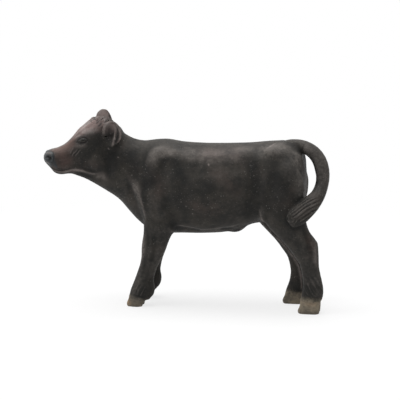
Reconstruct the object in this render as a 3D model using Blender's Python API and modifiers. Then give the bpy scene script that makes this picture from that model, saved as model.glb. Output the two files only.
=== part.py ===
"""Toy calf figure, standing with its tail looped on to its left thigh.

Nine solid plastic mouldings: a torso with the neck, a head, two ears, four lower legs and a tail.
Each of the other eight has a peg that is glued into a socket. Units are metres, +Z is up and the
calf faces -X, so its left side is at -Y. The origin is under the middle of the figure.
"""
import math

import bmesh
import bpy
import numpy as np
from mathutils import Matrix, Vector

MM = 0.001

# Trunk
TRUNK_LENGTH = 47.6 * MM
TRUNK_DEPTH = 24.5 * MM
TRUNK_WIDTH = 20.8 * MM
LEG_LENGTH = 20.5 * MM

# Neck and head
NECK_LENGTH = 18.5 * MM
NECK_WIDTH = 13.0 * MM
HEAD_FORWARD = 6.0 * MM
HEAD_LIFT = 15.7 * MM
HEAD_ASIDE = 1.0 * MM
HEAD_LENGTH = 19.2 * MM
HEAD_DEPTH = 15.4 * MM
HEAD_WIDTH = 11.8 * MM
HEAD_TURN = math.radians(20)
HEAD_ROLL = math.radians(4)

# Ears
EAR_LENGTH = 7.9 * MM
EAR_WIDTH = 5.6 * MM
EAR_THICKNESS = 1.1 * MM
EAR_CUP = 1.5 * MM
EAR_RISE = math.radians(50)
EAR_SWEEP = math.radians(2)
EAR_FACING = math.radians(40)

# Legs
STANCE_WIDTH = 10.8 * MM
FORE_LEG_DEPTH = 4.6 * MM
FORE_LEG_WIDTH = 3.5 * MM
FORE_HOOF_LENGTH = 4.7 * MM
FORE_HOOF_WIDTH = 4.8 * MM
FORE_STEP = 1.7 * MM
HIND_LEG_DEPTH = 5.0 * MM
HIND_LEG_WIDTH = 3.6 * MM
HIND_HOOF_LENGTH = 6.1 * MM
HIND_HOOF_WIDTH = 5.2 * MM
HIND_STEP = 5.5 * MM
HOOF_HEIGHT = 2.6 * MM
HOOF_CLEFT = 0.35 * MM
DEWCLAW_LENGTH = 1.9 * MM
DEWCLAW_WIDTH = 1.3 * MM
DEWCLAW_LEAN = math.radians(-25)

# Tail
TAIL_REACH = 4.2 * MM
TAIL_DROP = 20.4 * MM
TAIL_ASIDE = 8.8 * MM
TAIL_THICKNESS = 3.5 * MM
TUFT_WIDTH = 5.6 * MM
TUFT_THICKNESS = 3.3 * MM

# Pegs, sockets and glue gaps
LEG_PEG_DIAMETER = 2.4 * MM
LEG_PEG_LENGTH = 3.0 * MM
NECK_PEG_DIAMETER = 4.0 * MM
NECK_PEG_LENGTH = 4.0 * MM
EAR_PEG_DIAMETER = 1.8 * MM
EAR_PEG_LENGTH = 2.2 * MM
TAIL_PEG_DIAMETER = 1.8 * MM
TAIL_PEG_LENGTH = 3.0 * MM
PEG_SIDES = 16
GLUE_GAP = 0.3 * MM
OVERRUN = 1.0 * MM

# How finely the moulded surface is made
VOXEL = 0.42 * MM
EAR_VOXEL = 0.2 * MM
FLESH_SMOOTHING_STEPS = 26
HEAD_SMOOTHING_STEPS = 8
SEAM_SMOOTHING_STEPS = 4
EAR_SMOOTHING_STEPS = 5
BODY_TRIANGLES = 6800
EAR_TRIANGLES = 520
RING_POINTS = 32
TAIL_RING_POINTS = 12
LOFT_STEPS = 3
TAIL_STEPS = 2
EAR_COLUMNS = 8
SHARP_ANGLE = math.radians(40)

HALF_TRUNK = TRUNK_WIDTH / 2
HALF_HEAD = HEAD_WIDTH / 2
BACK_HEIGHT = LEG_LENGTH + TRUNK_DEPTH
CARRIAGE = HEAD_LIFT + HEAD_DEPTH

# Trunk sections, chest to rump: place along it, top and bottom up its depth, half width
TRUNK_SHARES = (
    (0.042, 1.005, 0.050, 0.66),
    (0.105, 1.028, 0.000, 0.74),
    (0.190, 1.040, -0.032, 0.84),
    (0.273, 1.012, -0.026, 0.92),
    (0.400, 1.000, -0.020, 0.99),
    (0.525, 1.004, 0.000, 1.00),
    (0.620, 1.012, 0.045, 0.96),
    (0.693, 1.022, 0.110, 0.90),
    (0.798, 1.044, 0.135, 0.87),
    (0.882, 1.045, 0.163, 0.82),
    (0.940, 0.985, 0.224, 0.68),
    (0.972, 0.880, 0.306, 0.46),
    (0.990, 0.740, 0.440, 0.20),
)
TRUNK_TOP_SQUARE = 2.25
TRUNK_LOW_SQUARE = 2.0
TRUNK_WIDEST_SHARE = 0.46

# Neck sections, chest to throat: place along it, top and bottom up to the poll, half width
NECK_SHARES = (
    (-0.20, 0.800, 0.020, 1.10),
    (0.000, 0.800, 0.050, 1.06),
    (0.162, 0.824, 0.145, 0.98),
    (0.324, 0.884, 0.262, 0.87),
    (0.486, 0.935, 0.332, 0.80),
    (0.649, 0.880, 0.396, 0.70),
    (0.811, 0.756, 0.456, 0.54),
    (0.973, 0.570, 0.500, 0.34),
    (1.040, 0.530, 0.510, 0.14),
)
NECK_START_SHARE = 0.042
NECK_TURN_SHARE = 0.79
NECK_BEND_POWER = 1.5
NECK_SQUARE = 2.0
NECK_WIDEST_SHARE = 0.42

# Head sections, nose to nape: place along it, top and bottom up its depth, half width, widest height
HEAD_SHARES = (
    (1.005, 0.331, 0.247, 0.22, 0.50),
    (0.984, 0.380, 0.221, 0.42, 0.50),
    (0.942, 0.430, 0.160, 0.54, 0.50),
    (0.880, 0.460, 0.084, 0.58, 0.50),
    (0.800, 0.480, 0.022, 0.55, 0.48),
    (0.686, 0.550, 0.006, 0.52, 0.52),
    (0.592, 0.660, 0.000, 0.60, 0.60),
    (0.487, 0.790, 0.000, 0.78, 0.68),
    (0.382, 0.900, 0.006, 0.88, 0.70),
    (0.283, 0.995, 0.013, 0.92, 0.68),
    (0.178, 1.030, 0.040, 0.90, 0.64),
    (0.063, 0.975, 0.117, 0.84, 0.60),
    (-0.079, 0.840, 0.247, 0.74, 0.55),
    (-0.157, 0.688, 0.377, 0.48, 0.50),
)
HEAD_TOP_SQUARE = 2.5
HEAD_LOW_SQUARE = 1.8

# Muscles and bones of one side: place and radii as shares of trunk length, half width and depth,
# then the lean of the top towards the head in degrees
MUSCLE_SHARES = {
    "shoulder_blade": (0.140, 0.47, 0.700, 0.085, 0.33, 0.280, -14),
    "shoulder_point": (0.066, 0.49, 0.420, 0.060, 0.31, 0.250, 20),
    "upper_arm": (0.165, 0.56, 0.330, 0.110, 0.33, 0.310, 6),
    "hook_bone": (0.819, 0.47, 0.885, 0.082, 0.26, 0.120, 0),
    "thigh": (0.868, 0.54, 0.480, 0.125, 0.39, 0.420, -4),
    "pin_bone": (0.940, 0.32, 0.820, 0.044, 0.23, 0.135, 0),
    "stifle": (0.785, 0.60, 0.400, 0.056, 0.25, 0.230, -12),
}
MIDDLE_SHARES = {
    "navel": (0.588, 0.0, 0.055, 0.060, 0.12, 0.040, -10),
    "breastbone": (0.235, 0.0, 0.010, 0.055, 0.24, 0.042, 0),
}

# Forms of the head: place and radii as shares of its length, half width and depth
FACE_SHARES = {
    "cheek": (0.240, 0.60, 0.270, 0.185, 0.40, 0.235),
    "brow": (0.455, 0.64, 0.655, 0.100, 0.25, 0.075),
    "eye": (0.452, 0.74, 0.600, 0.046, 0.16, 0.055),
    "nostril_wing": (0.935, 0.33, 0.310, 0.052, 0.22, 0.085),
}
FACE_MIDDLE_SHARES = {
    "poll": (0.200, 0.0, 0.900, 0.115, 0.52, 0.105),
    "chin": (0.775, 0.0, 0.075, 0.110, 0.40, 0.075),
}

# Legs: height and forward place as shares of the leg length, then depth and width
HIND_SHARES = (
    (0.060, 0.000, 1.02, 1.10),
    (0.122, 0.002, 1.06, 1.12),
    (0.205, 0.027, 1.10, 1.14),
    (0.259, 0.047, 1.15, 1.24),
    (0.341, 0.050, 1.10, 1.12),
    (0.439, 0.036, 1.03, 1.00),
    (0.561, 0.012, 1.00, 0.94),
    (0.659, -0.009, 1.08, 1.04),
    (0.732, -0.036, 1.29, 1.20),
    (0.829, -0.072, 1.54, 1.30),
    (0.917, -0.116, 1.82, 1.34),
    (1.000, -0.178, 1.96, 1.44),
    (1.073, -0.246, 2.04, 1.60),
    (1.170, -0.308, 2.20, 1.80),
    (1.346, -0.380, 2.50, 2.10),
    (1.560, -0.400, 2.40, 2.10),
)
FORE_SHARES = (
    (0.060, 0.010, 0.98, 1.10),
    (0.098, 0.036, 1.15, 1.16),
    (0.156, 0.082, 1.49, 1.28),
    (0.244, 0.104, 1.40, 1.30),
    (0.351, 0.118, 1.14, 1.08),
    (0.463, 0.152, 1.09, 0.98),
    (0.561, 0.188, 1.10, 1.02),
    (0.659, 0.220, 1.26, 1.16),
    (0.771, 0.246, 1.48, 1.28),
    (0.854, 0.266, 1.57, 1.24),
    (0.966, 0.298, 1.69, 1.38),
    (1.073, 0.331, 1.93, 1.62),
    (1.268, 0.341, 2.05, 1.85),
    (1.460, 0.327, 1.95, 1.80),
)
LEG_SQUARE = 2.1

# Places along the trunk where the hooves stand, as shares of its length
FORE_HOOF_SHARE = 0.020
HIND_HOOF_SHARE = 1.029

# How much of its step a right leg is moved forward, by its height
STEP_SHARES = {
    "fore": ((0.00, 0.50), (0.16, 0.40), (0.28, 0.05), (0.50, 0.40), (0.83, 0.90), (1.50, 1.00)),
    "hind": ((0.00, 1.00), (0.45, 0.82), (1.00, 0.88), (1.50, 0.66)),
}

# A claw of a hoof, sole to coronet: height, forward shift and length, and width
CLAW_SHARES = (
    (-0.30, 0.00, 0.98, 0.96),
    (0.00, 0.00, 0.99, 0.98),
    (0.25, 0.01, 1.00, 1.00),
    (0.60, 0.05, 0.93, 0.94),
    (1.00, 0.11, 0.84, 0.84),
    (1.25, 0.15, 0.62, 0.60),
)
CLAW_POINT = 2.3

# Dewclaws: height up the leg, place behind the leg's middle and aside
DEWCLAW_SHARES = {"fore": (0.120, 0.46, 0.30), "hind": (0.210, 0.47, 0.30)}

# Tail path, root to tip: behind the rump in reaches, down from the back in drops, aside,
# thickness between tail and tuft
TAIL_SHARES = (
    (-1.40, 0.065, 0.00, 0.0),
    (-0.87, 0.062, 0.00, 0.0),
    (-0.26, 0.078, 0.01, 0.0),
    (0.36, 0.143, 0.04, 0.0),
    (0.78, 0.242, 0.10, 0.0),
    (1.00, 0.368, 0.18, 0.0),
    (1.03, 0.490, 0.27, 0.0),
    (0.93, 0.600, 0.38, 0.05),
    (0.76, 0.690, 0.54, 0.20),
    (0.46, 0.770, 0.72, 0.55),
    (0.05, 0.850, 0.88, 0.90),
    (-0.40, 0.930, 0.97, 1.00),
    (-0.74, 0.982, 1.00, 0.60),
    (-0.98, 1.005, 1.00, 0.00),
)
TAIL_TIP_SHARE = 0.5
TAIL_CROWN_SHARE = 1.045
TAIL_PEG_STATION = 1

# Ear outline: place along the ear, half width
EAR_SHARES = ((0.00, 0.55), (0.20, 0.80), (0.45, 1.00), (0.70, 0.96), (0.88, 0.72), (1.00, 0.34))
EAR_PLACE_SHARES = (0.070, 0.78, 0.618)
EAR_ROOT_SHARE = 0.12
EAR_ROOT_BACK_SHARE = 0.25
EAR_ROOT_SHARES = (0.33, 0.23, 0.34)

# Joints: height of the leg joints, and the neck joint's place and lean
LEG_JOINT_SHARE = 0.95
NECK_JOINT_SHARES = (0.46, 0.68)
NECK_JOINT_LEAN = math.radians(25)

COLOURS = {
    "torso": (0.031, 0.027, 0.026),
    "head": (0.050, 0.036, 0.034),
    "left_ear": (0.060, 0.048, 0.045),
    "right_ear": (0.060, 0.048, 0.045),
    "left_foreleg": (0.034, 0.030, 0.028),
    "right_foreleg": (0.034, 0.030, 0.028),
    "left_hindleg": (0.036, 0.031, 0.029),
    "right_hindleg": (0.036, 0.031, 0.029),
    "tail": (0.040, 0.035, 0.033),
}
ROUGHNESS = 0.72


def clear_scene():
    for old in list(bpy.data.objects):
        bpy.data.objects.remove(old, do_unlink=True)


def new_collection(name):
    collection = bpy.data.collections.new(name)
    bpy.context.scene.collection.children.link(collection)
    return collection


def new_object(name, bm, collection):
    bmesh.ops.recalc_face_normals(bm, faces=bm.faces)
    mesh = bpy.data.meshes.new(name)
    bm.to_mesh(mesh)
    bm.free()
    obj = bpy.data.objects.new(name, mesh)
    collection.objects.link(obj)
    return obj


def hide_cutter(obj):
    obj.hide_render = True
    obj.display_type = "WIRE"


def apply_modifiers(obj):
    """Replaces an object's mesh with what its modifiers make of it."""
    bpy.context.view_layer.update()
    evaluated = obj.evaluated_get(bpy.context.evaluated_depsgraph_get())
    mesh = bpy.data.meshes.new_from_object(evaluated)
    obj.modifiers.clear()
    old = obj.data
    obj.data = mesh
    bpy.data.meshes.remove(old)


def boolean(obj, cutter, operation):
    modifier = obj.modifiers.new(operation.lower(), "BOOLEAN")
    modifier.operation = operation
    modifier.solver = "EXACT"
    modifier.object = cutter
    apply_modifiers(obj)


def duplicate(obj, name, collection):
    copy = bpy.data.objects.new(name, obj.data.copy())
    copy.matrix_world = obj.matrix_world.copy()
    collection.objects.link(copy)
    return copy


def smooth_rows(rows, steps):
    """Catmull-Rom rows between the given ones, so that a loft bends smoothly."""
    rows = np.array(rows, dtype=float)
    padded = np.vstack([2 * rows[0] - rows[1], rows, 2 * rows[-1] - rows[-2]])
    result = []
    for index in range(len(rows) - 1):
        before, start, end, after = padded[index:index + 4]
        for step in range(steps):
            t = step / steps
            slope_in = (end - before) / 2
            slope_out = (after - start) / 2
            result.append((2 * t**3 - 3 * t**2 + 1) * start + (t**3 - 2 * t**2 + t) * slope_in
                          + (3 * t**2 - 2 * t**3) * end + (t**3 - t**2) * slope_out)
    result.append(rows[-1])
    return np.array(result)


def power(value, square):
    """A cosine or sine drawn out towards a square with the given superellipse power."""
    return math.copysign(abs(value) ** (2 / square), value)


def loft(name, rings, collection):
    """A closed skin over rings of equal point counts, with a fan at each end."""
    bm = bmesh.new()
    loops = [[bm.verts.new(point) for point in ring] for ring in rings]
    count = len(loops[0])
    for lower, upper in zip(loops, loops[1:]):
        for i in range(count):
            j = (i + 1) % count
            bm.faces.new((lower[i], lower[j], upper[j], upper[i]))
    for loop in (loops[0], loops[-1]):
        middle = sum((v.co for v in loop), Vector()) / count
        hub = bm.verts.new(middle)
        for i in range(count):
            bm.faces.new((loop[i], loop[(i + 1) % count], hub))
    return new_object(name, bm, collection)


def upright_ring(x, y, top, bottom, half_width, widest, top_square, low_square):
    """A ring across the body at x, whose upper and lower halves have their own squareness."""
    middle = bottom + (top - bottom) * widest
    ring = []
    for i in range(RING_POINTS):
        angle = 2 * math.pi * i / RING_POINTS
        rise = math.sin(angle)
        square = top_square if rise > 0 else low_square
        reach = top - middle if rise > 0 else middle - bottom
        ring.append(Vector((x, y + half_width * power(math.cos(angle), square),
                            middle + reach * power(rise, square))))
    return ring


def flat_ring(x, y, z, half_depth, half_width, square):
    """A level ring round a leg."""
    ring = []
    for i in range(RING_POINTS):
        angle = 2 * math.pi * i / RING_POINTS
        ring.append(Vector((x + half_depth * power(math.cos(angle), square),
                            y + half_width * power(math.sin(angle), square), z)))
    return ring


def ellipsoid(name, centre, radii, lean, collection):
    """A muscle or bone: a sphere drawn out along its own axes, its top leaning towards the head."""
    bm = bmesh.new()
    bmesh.ops.create_uvsphere(bm, u_segments=24, v_segments=16, radius=1)
    shape = Matrix.Rotation(-lean, 4, "Y") @ Matrix.Diagonal((*radii, 1))
    bmesh.ops.transform(bm, matrix=Matrix.Translation(centre) @ shape, verts=bm.verts)
    return new_object(name, bm, collection)


def head_frame():
    """From the head's own axes, nose towards -X and jaw at zero height, to the figure's."""
    place = Vector((-HEAD_FORWARD, -HEAD_ASIDE, LEG_LENGTH + HEAD_LIFT))
    turn = Matrix.Rotation(HEAD_TURN, 4, "Z")
    roll_height = Matrix.Translation((0, 0, HEAD_DEPTH / 2))
    roll = roll_height @ Matrix.Rotation(HEAD_ROLL, 4, "X") @ roll_height.inverted()
    return Matrix.Translation(place) @ turn @ roll


def trunk(collection):
    rings = []
    for along, top, bottom, half_width in smooth_rows(TRUNK_SHARES, LOFT_STEPS):
        rings.append(upright_ring(along * TRUNK_LENGTH, 0, LEG_LENGTH + top * TRUNK_DEPTH,
                                  LEG_LENGTH + bottom * TRUNK_DEPTH, half_width * HALF_TRUNK,
                                  TRUNK_WIDEST_SHARE, TRUNK_TOP_SQUARE, TRUNK_LOW_SQUARE))
    return loft("trunk_form", rings, collection)


def neck(collection):
    rings = []
    for along, top, bottom, half_width in smooth_rows(NECK_SHARES, LOFT_STEPS):
        x = NECK_START_SHARE * TRUNK_LENGTH - along * NECK_LENGTH
        bend = max(along, 0) ** NECK_BEND_POWER * NECK_TURN_SHARE
        y = -bend * math.tan(HEAD_TURN) * NECK_LENGTH
        rings.append(upright_ring(x, y, LEG_LENGTH + top * CARRIAGE, LEG_LENGTH + bottom * CARRIAGE,
                                  half_width * NECK_WIDTH / 2, NECK_WIDEST_SHARE,
                                  NECK_SQUARE, NECK_SQUARE))
    return loft("neck_form", rings, collection)


def sided(places, sides):
    """Every named form with each side it is made on."""
    return [(name, side, row) for name, row in places.items() for side in sides]


def muscles(collection):
    forms = []
    for name, side, row in sided(MUSCLE_SHARES, (-1, 1)) + sided(MIDDLE_SHARES, (1,)):
        x, y, z, rx, ry, rz, lean = row
        centre = Vector((x * TRUNK_LENGTH, side * y * HALF_TRUNK, LEG_LENGTH + z * TRUNK_DEPTH))
        radii = (rx * TRUNK_LENGTH, ry * HALF_TRUNK, rz * TRUNK_DEPTH)
        forms.append(ellipsoid(name + "_form", centre, radii, math.radians(lean), collection))
    return forms


def head_skull(collection):
    rings = []
    for along, top, bottom, half_width, widest in smooth_rows(HEAD_SHARES, LOFT_STEPS):
        rings.append(upright_ring(-along * HEAD_LENGTH, 0, top * HEAD_DEPTH, bottom * HEAD_DEPTH,
                                  half_width * HALF_HEAD, widest, HEAD_TOP_SQUARE, HEAD_LOW_SQUARE))
    skull = loft("skull_form", rings, collection)
    skull.data.transform(head_frame())
    return skull


def face(collection):
    forms = []
    for name, side, row in sided(FACE_SHARES, (-1, 1)) + sided(FACE_MIDDLE_SHARES, (1,)):
        x, y, z, rx, ry, rz = row
        centre = Vector((-x * HEAD_LENGTH, side * y * HALF_HEAD, z * HEAD_DEPTH))
        radii = (rx * HEAD_LENGTH, ry * HALF_HEAD, rz * HEAD_DEPTH)
        form = ellipsoid(name + "_form", centre, radii, 0, collection)
        form.data.transform(head_frame())
        forms.append(form)
    return forms


def between(rows, height, column):
    """A column of a table of shares, read at a height between its rows."""
    return float(np.interp(height, [row[0] for row in rows], [row[column] for row in rows]))


def leg_centre(kind, side, height_share, forward_share):
    """The middle of a leg at a height, in the figure's axes. The right legs stand further forward."""
    hoof_share = {"fore": FORE_HOOF_SHARE, "hind": HIND_HOOF_SHARE}[kind]
    step = {"fore": FORE_STEP, "hind": HIND_STEP}[kind]
    x = hoof_share * TRUNK_LENGTH + forward_share * LEG_LENGTH
    if side > 0:
        x -= step * between(STEP_SHARES[kind], height_share, 1)
    return Vector((x, side * STANCE_WIDTH / 2, height_share * LEG_LENGTH))


def leg(kind, side, collection):
    rows = {"fore": FORE_SHARES, "hind": HIND_SHARES}[kind]
    depth_size = {"fore": FORE_LEG_DEPTH, "hind": HIND_LEG_DEPTH}[kind]
    width_size = {"fore": FORE_LEG_WIDTH, "hind": HIND_LEG_WIDTH}[kind]
    rings = []
    for height, forward, depth, width in smooth_rows(rows, LOFT_STEPS):
        centre = leg_centre(kind, side, height, forward)
        rings.append(flat_ring(centre.x, centre.y, centre.z, depth * depth_size / 2,
                               width * width_size / 2, LEG_SQUARE))
    forms = [loft(kind + "_leg_form", rings, collection)]
    forms += hoof(kind, side, collection)
    forms += dewclaws(kind, side, depth_size, width_size, collection)
    return forms


def hoof(kind, side, collection):
    """Two claws side by side with the cleft between them, wider at the sole than at the coronet."""
    length = {"fore": FORE_HOOF_LENGTH, "hind": HIND_HOOF_LENGTH}[kind]
    width = {"fore": FORE_HOOF_WIDTH, "hind": HIND_HOOF_WIDTH}[kind]
    ground = leg_centre(kind, side, 0, 0)
    claw_width = (width - HOOF_CLEFT) / 2
    claws = []
    for claw_side in (-1, 1):
        rings = []
        for height, back, long, wide in CLAW_SHARES:
            x = ground.x + back * length
            y = ground.y + claw_side * (HOOF_CLEFT + claw_width) / 2
            rings.append(flat_ring(x, y, height * HOOF_HEIGHT, long * length / 2,
                                   wide * claw_width / 2, CLAW_POINT))
        claws.append(loft(kind + "_claw_form", rings, collection))
    return claws


def dewclaws(kind, side, depth_size, width_size, collection):
    height, back, aside = DEWCLAW_SHARES[kind]
    rows = {"fore": FORE_SHARES, "hind": HIND_SHARES}[kind]
    depth = between(rows, height, 2)
    centre = leg_centre(kind, side, height, between(rows, height, 1))
    forms = []
    for claw_side in (-1, 1):
        place = centre + Vector((back * depth * depth_size, claw_side * aside * width_size, 0))
        radii = (DEWCLAW_WIDTH / 2, DEWCLAW_WIDTH / 2, DEWCLAW_LENGTH / 2)
        forms.append(ellipsoid(kind + "_dewclaw_form", place, radii, DEWCLAW_LEAN, collection))
    return forms


def voxel_union(name, forms, smoothing, collection, voxel=VOXEL):
    """One even skin over overlapping forms, smoothed a number of times."""
    bm = bmesh.new()
    for form in forms:
        bm.from_mesh(form.data)
    for form in forms:
        bpy.data.objects.remove(form, do_unlink=True)
    obj = new_object(name, bm, collection)
    remesh = obj.modifiers.new("skin", "REMESH")
    remesh.mode = "VOXEL"
    remesh.voxel_size = voxel
    smooth = obj.modifiers.new("smooth", "SMOOTH")
    smooth.factor = 0.5
    smooth.iterations = smoothing
    apply_modifiers(obj)
    return obj


def thin_out(obj, triangles):
    decimate = obj.modifiers.new("thin", "DECIMATE")
    decimate.ratio = min(triangles / (2 * len(obj.data.polygons)), 1)
    decimate.use_collapse_triangulate = True
    apply_modifiers(obj)


def grown(obj, distance, triangles, collection):
    """A copy whose surface stands off by a distance, for cutting pieces that lie against it."""
    copy = duplicate(obj, obj.name + "_grown", collection)
    displace = copy.modifiers.new("grow", "DISPLACE")
    displace.strength = distance
    displace.mid_level = 0
    remesh = copy.modifiers.new("skin", "REMESH")
    remesh.mode = "VOXEL"
    remesh.voxel_size = VOXEL
    apply_modifiers(copy)
    thin_out(copy, triangles)
    return copy


def slab(name, frame, low, high, collection):
    """A box for cutting, between two corners in its own axes."""
    bm = bmesh.new()
    bmesh.ops.create_cube(bm, size=1)
    low, high = Vector(low), Vector(high)
    size = high - low
    place = Matrix.Translation((low + high) / 2) @ Matrix.Diagonal((*size, 1))
    bmesh.ops.transform(bm, matrix=frame @ place, verts=bm.verts)
    return new_object(name, bm, collection)


def peg(name, start, direction, diameter, length, collection):
    """A round rod from a point along a direction."""
    bm = bmesh.new()
    bmesh.ops.create_cone(bm, cap_ends=True, segments=PEG_SIDES, radius1=diameter / 2,
                          radius2=diameter / 2, depth=length)
    turn = Vector(direction).to_track_quat("Z", "Y").to_matrix().to_4x4()
    place = Matrix.Translation(Vector(start) + Vector(direction).normalized() * length / 2)
    bmesh.ops.transform(bm, matrix=place @ turn, verts=bm.verts)
    return new_object(name, bm, collection)


def fit_peg(piece, carrier, seat, direction, diameter, length, cutters):
    """Puts a peg on a piece and its socket, wider and deeper by the glue gap, in what carries it.

    The seat is on the joint's middle; the peg starts an overrun inside its own piece.
    """
    direction = Vector(direction).normalized()
    start = Vector(seat) - direction * OVERRUN
    rod = peg(piece.name + "_peg", start, direction, diameter, OVERRUN + length, cutters)
    boolean(piece, rod, "UNION")
    socket = peg(piece.name + "_socket", start, direction, diameter + 2 * GLUE_GAP,
                 OVERRUN + length + GLUE_GAP, cutters)
    boolean(carrier, socket, "DIFFERENCE")
    hide_cutter(rod)
    hide_cutter(socket)


def cut_body(body, parts, cutters):
    """Parts the moulded body at the neck and the legs, each joint open by the glue gap."""
    reach = TRUNK_LENGTH + NECK_LENGTH + HEAD_LENGTH + TAIL_REACH
    low = -HOOF_HEIGHT
    joint = LEG_JOINT_SHARE * LEG_LENGTH
    middle = TRUNK_LENGTH / 2
    floor = slab("floor_cut", Matrix(), (-reach, -reach, low), (reach, reach, 0), cutters)
    boolean(body, floor, "DIFFERENCE")
    pieces = {}
    for kind, x_low, x_high in (("fore", -reach, middle), ("hind", middle, reach)):
        for side_name, y_low, y_high in (("left", -reach, 0), ("right", 0, reach)):
            name = side_name + "_" + kind + "leg"
            box = slab(name + "_cut", Matrix(), (x_low, y_low, low),
                       (x_high, y_high, joint - GLUE_GAP / 2), cutters)
            pieces[name] = duplicate(body, name, parts)
            boolean(pieces[name], box, "INTERSECT")
            hide_cutter(box)
    legs_cut = slab("legs_cut", Matrix(), (-reach, -reach, low), (reach, reach, joint + GLUE_GAP / 2),
                    cutters)
    boolean(body, legs_cut, "DIFFERENCE")
    hide_cutter(floor)
    hide_cutter(legs_cut)
    frame = neck_joint_frame()
    head_box = slab("head_cut", frame, (GLUE_GAP / 2, -reach, -reach), (reach, reach, reach), cutters)
    neck_box = slab("neck_cut", frame, (-GLUE_GAP / 2, -reach, -reach), (reach, reach, reach), cutters)
    pieces["head"] = duplicate(body, "head", parts)
    boolean(pieces["head"], head_box, "INTERSECT")
    pieces["torso"] = duplicate(body, "torso", parts)
    boolean(pieces["torso"], neck_box, "DIFFERENCE")
    hide_cutter(head_box)
    hide_cutter(neck_box)
    return pieces


def neck_joint_frame():
    """The neck joint's axes: its X points out of the neck towards the head."""
    along, height = NECK_JOINT_SHARES
    bend = along ** NECK_BEND_POWER * NECK_TURN_SHARE * math.tan(HEAD_TURN)
    place = Vector((NECK_START_SHARE * TRUNK_LENGTH - along * NECK_LENGTH, -bend * NECK_LENGTH,
                    LEG_LENGTH + height * CARRIAGE))
    turn = Matrix.Rotation(math.pi + HEAD_TURN, 4, "Z") @ Matrix.Rotation(-NECK_JOINT_LEAN, 4, "Y")
    return Matrix.Translation(place) @ turn


def ear(side, body_skin, forms, parts):
    """A cupped leaf on a short root, cut to lie against the head."""
    name = "left_ear" if side < 0 else "right_ear"
    along, aside, height = EAR_PLACE_SHARES
    base = Vector((-along * HEAD_LENGTH, side * aside * HALF_HEAD, height * HEAD_DEPTH))
    axis = Vector((math.sin(EAR_SWEEP), side * math.cos(EAR_RISE), math.sin(EAR_RISE))).normalized()
    across = Vector((-math.cos(EAR_FACING), -side * math.sin(EAR_FACING), 0))
    across = (across - axis * across.dot(axis)).normalized()
    facing = across.cross(axis) * -side
    facing *= math.copysign(1, facing.y * side)
    rows = smooth_rows(EAR_SHARES, TAIL_STEPS)
    bm = bmesh.new()
    bmesh.ops.create_grid(bm, x_segments=EAR_COLUMNS, y_segments=len(rows) - 1, size=0.5)
    for vertex in bm.verts:
        u = vertex.co.x * 2
        index = round((vertex.co.y + 0.5) * (len(rows) - 1))
        place, width = rows[index]
        cup = EAR_CUP * width * (u * u - 0.5)
        vertex.co = base + axis * place * EAR_LENGTH + across * u * width * EAR_WIDTH / 2 + facing * cup
    leaf = new_object(name + "_leaf", bm, forms)
    leaf.data.transform(head_frame())
    shell = leaf.modifiers.new("wall", "SOLIDIFY")
    shell.thickness = EAR_THICKNESS
    shell.offset = 0
    apply_modifiers(leaf)
    root_centre = base + axis * EAR_ROOT_SHARE * EAR_LENGTH - facing * EAR_ROOT_BACK_SHARE * EAR_CUP
    root_radii = [share * EAR_WIDTH for share in EAR_ROOT_SHARES]
    root = ellipsoid(name + "_root", root_centre, root_radii, 0, forms)
    root.data.transform(head_frame())
    piece = voxel_union(name, [leaf, root], EAR_SMOOTHING_STEPS, parts, EAR_VOXEL)
    thin_out(piece, EAR_TRIANGLES)
    boolean(piece, body_skin, "DIFFERENCE")
    keep_largest(piece)
    seat = head_frame() @ base
    inward = (head_frame().to_3x3() @ -axis).normalized()
    return piece, seat, inward


def tail_rings(rows):
    """Rings along the tail's path, round on the tail and flattened on the tuft."""
    crown = LEG_LENGTH + TAIL_CROWN_SHARE * TRUNK_DEPTH
    points = [Vector((TRUNK_LENGTH + row[0] * TAIL_REACH, -row[2] * TAIL_ASIDE,
                      crown - row[1] * TAIL_DROP)) for row in rows]
    rings = []
    for index, row in enumerate(rows):
        before = points[max(index - 1, 0)]
        after = points[min(index + 1, len(points) - 1)]
        tangent = (after - before).normalized()
        aside = Vector((0, 1, 0))
        aside = (aside - tangent * aside.dot(tangent)).normalized()
        outward = tangent.cross(aside)
        blend = float(np.clip(row[3], 0, 1))
        half_width = (TAIL_THICKNESS * (1 - blend) + TUFT_WIDTH * blend) / 2
        half_depth = (TAIL_THICKNESS * (1 - blend) + TUFT_THICKNESS * blend) / 2
        if index == len(rows) - 1:
            half_width *= TAIL_TIP_SHARE
            half_depth *= TAIL_TIP_SHARE
        ring = []
        for i in range(TAIL_RING_POINTS):
            angle = 2 * math.pi * i / TAIL_RING_POINTS
            ring.append(points[index] + outward * half_width * math.cos(angle)
                        + aside * half_depth * math.sin(angle))
        rings.append(ring)
    return points, rings


def tail(body_skin, parts):
    rows = smooth_rows(TAIL_SHARES, TAIL_STEPS)
    points, rings = tail_rings(rows)
    piece = loft("tail", rings, parts)
    boolean(piece, body_skin, "DIFFERENCE")
    keep_largest(piece)
    station = TAIL_STEPS * TAIL_PEG_STATION
    seat = points[station]
    inward = points[0] - points[station]
    return piece, seat, inward


def keep_largest(obj):
    """Drops crumbs that a cut leaves, such as the sunken end of a root."""
    bm = bmesh.new()
    bm.from_mesh(obj.data)
    bm.verts.ensure_lookup_table()
    seen = set()
    groups = []
    for start in bm.verts:
        if start.index in seen:
            continue
        group = []
        stack = [start]
        seen.add(start.index)
        while stack:
            vertex = stack.pop()
            group.append(vertex)
            for edge in vertex.link_edges:
                other = edge.other_vert(vertex)
                if other.index not in seen:
                    seen.add(other.index)
                    stack.append(other)
        groups.append(group)
    groups.sort(key=len)
    for group in groups[:-1]:
        bmesh.ops.delete(bm, geom=group, context="VERTS")
    bm.to_mesh(obj.data)
    bm.free()


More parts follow.
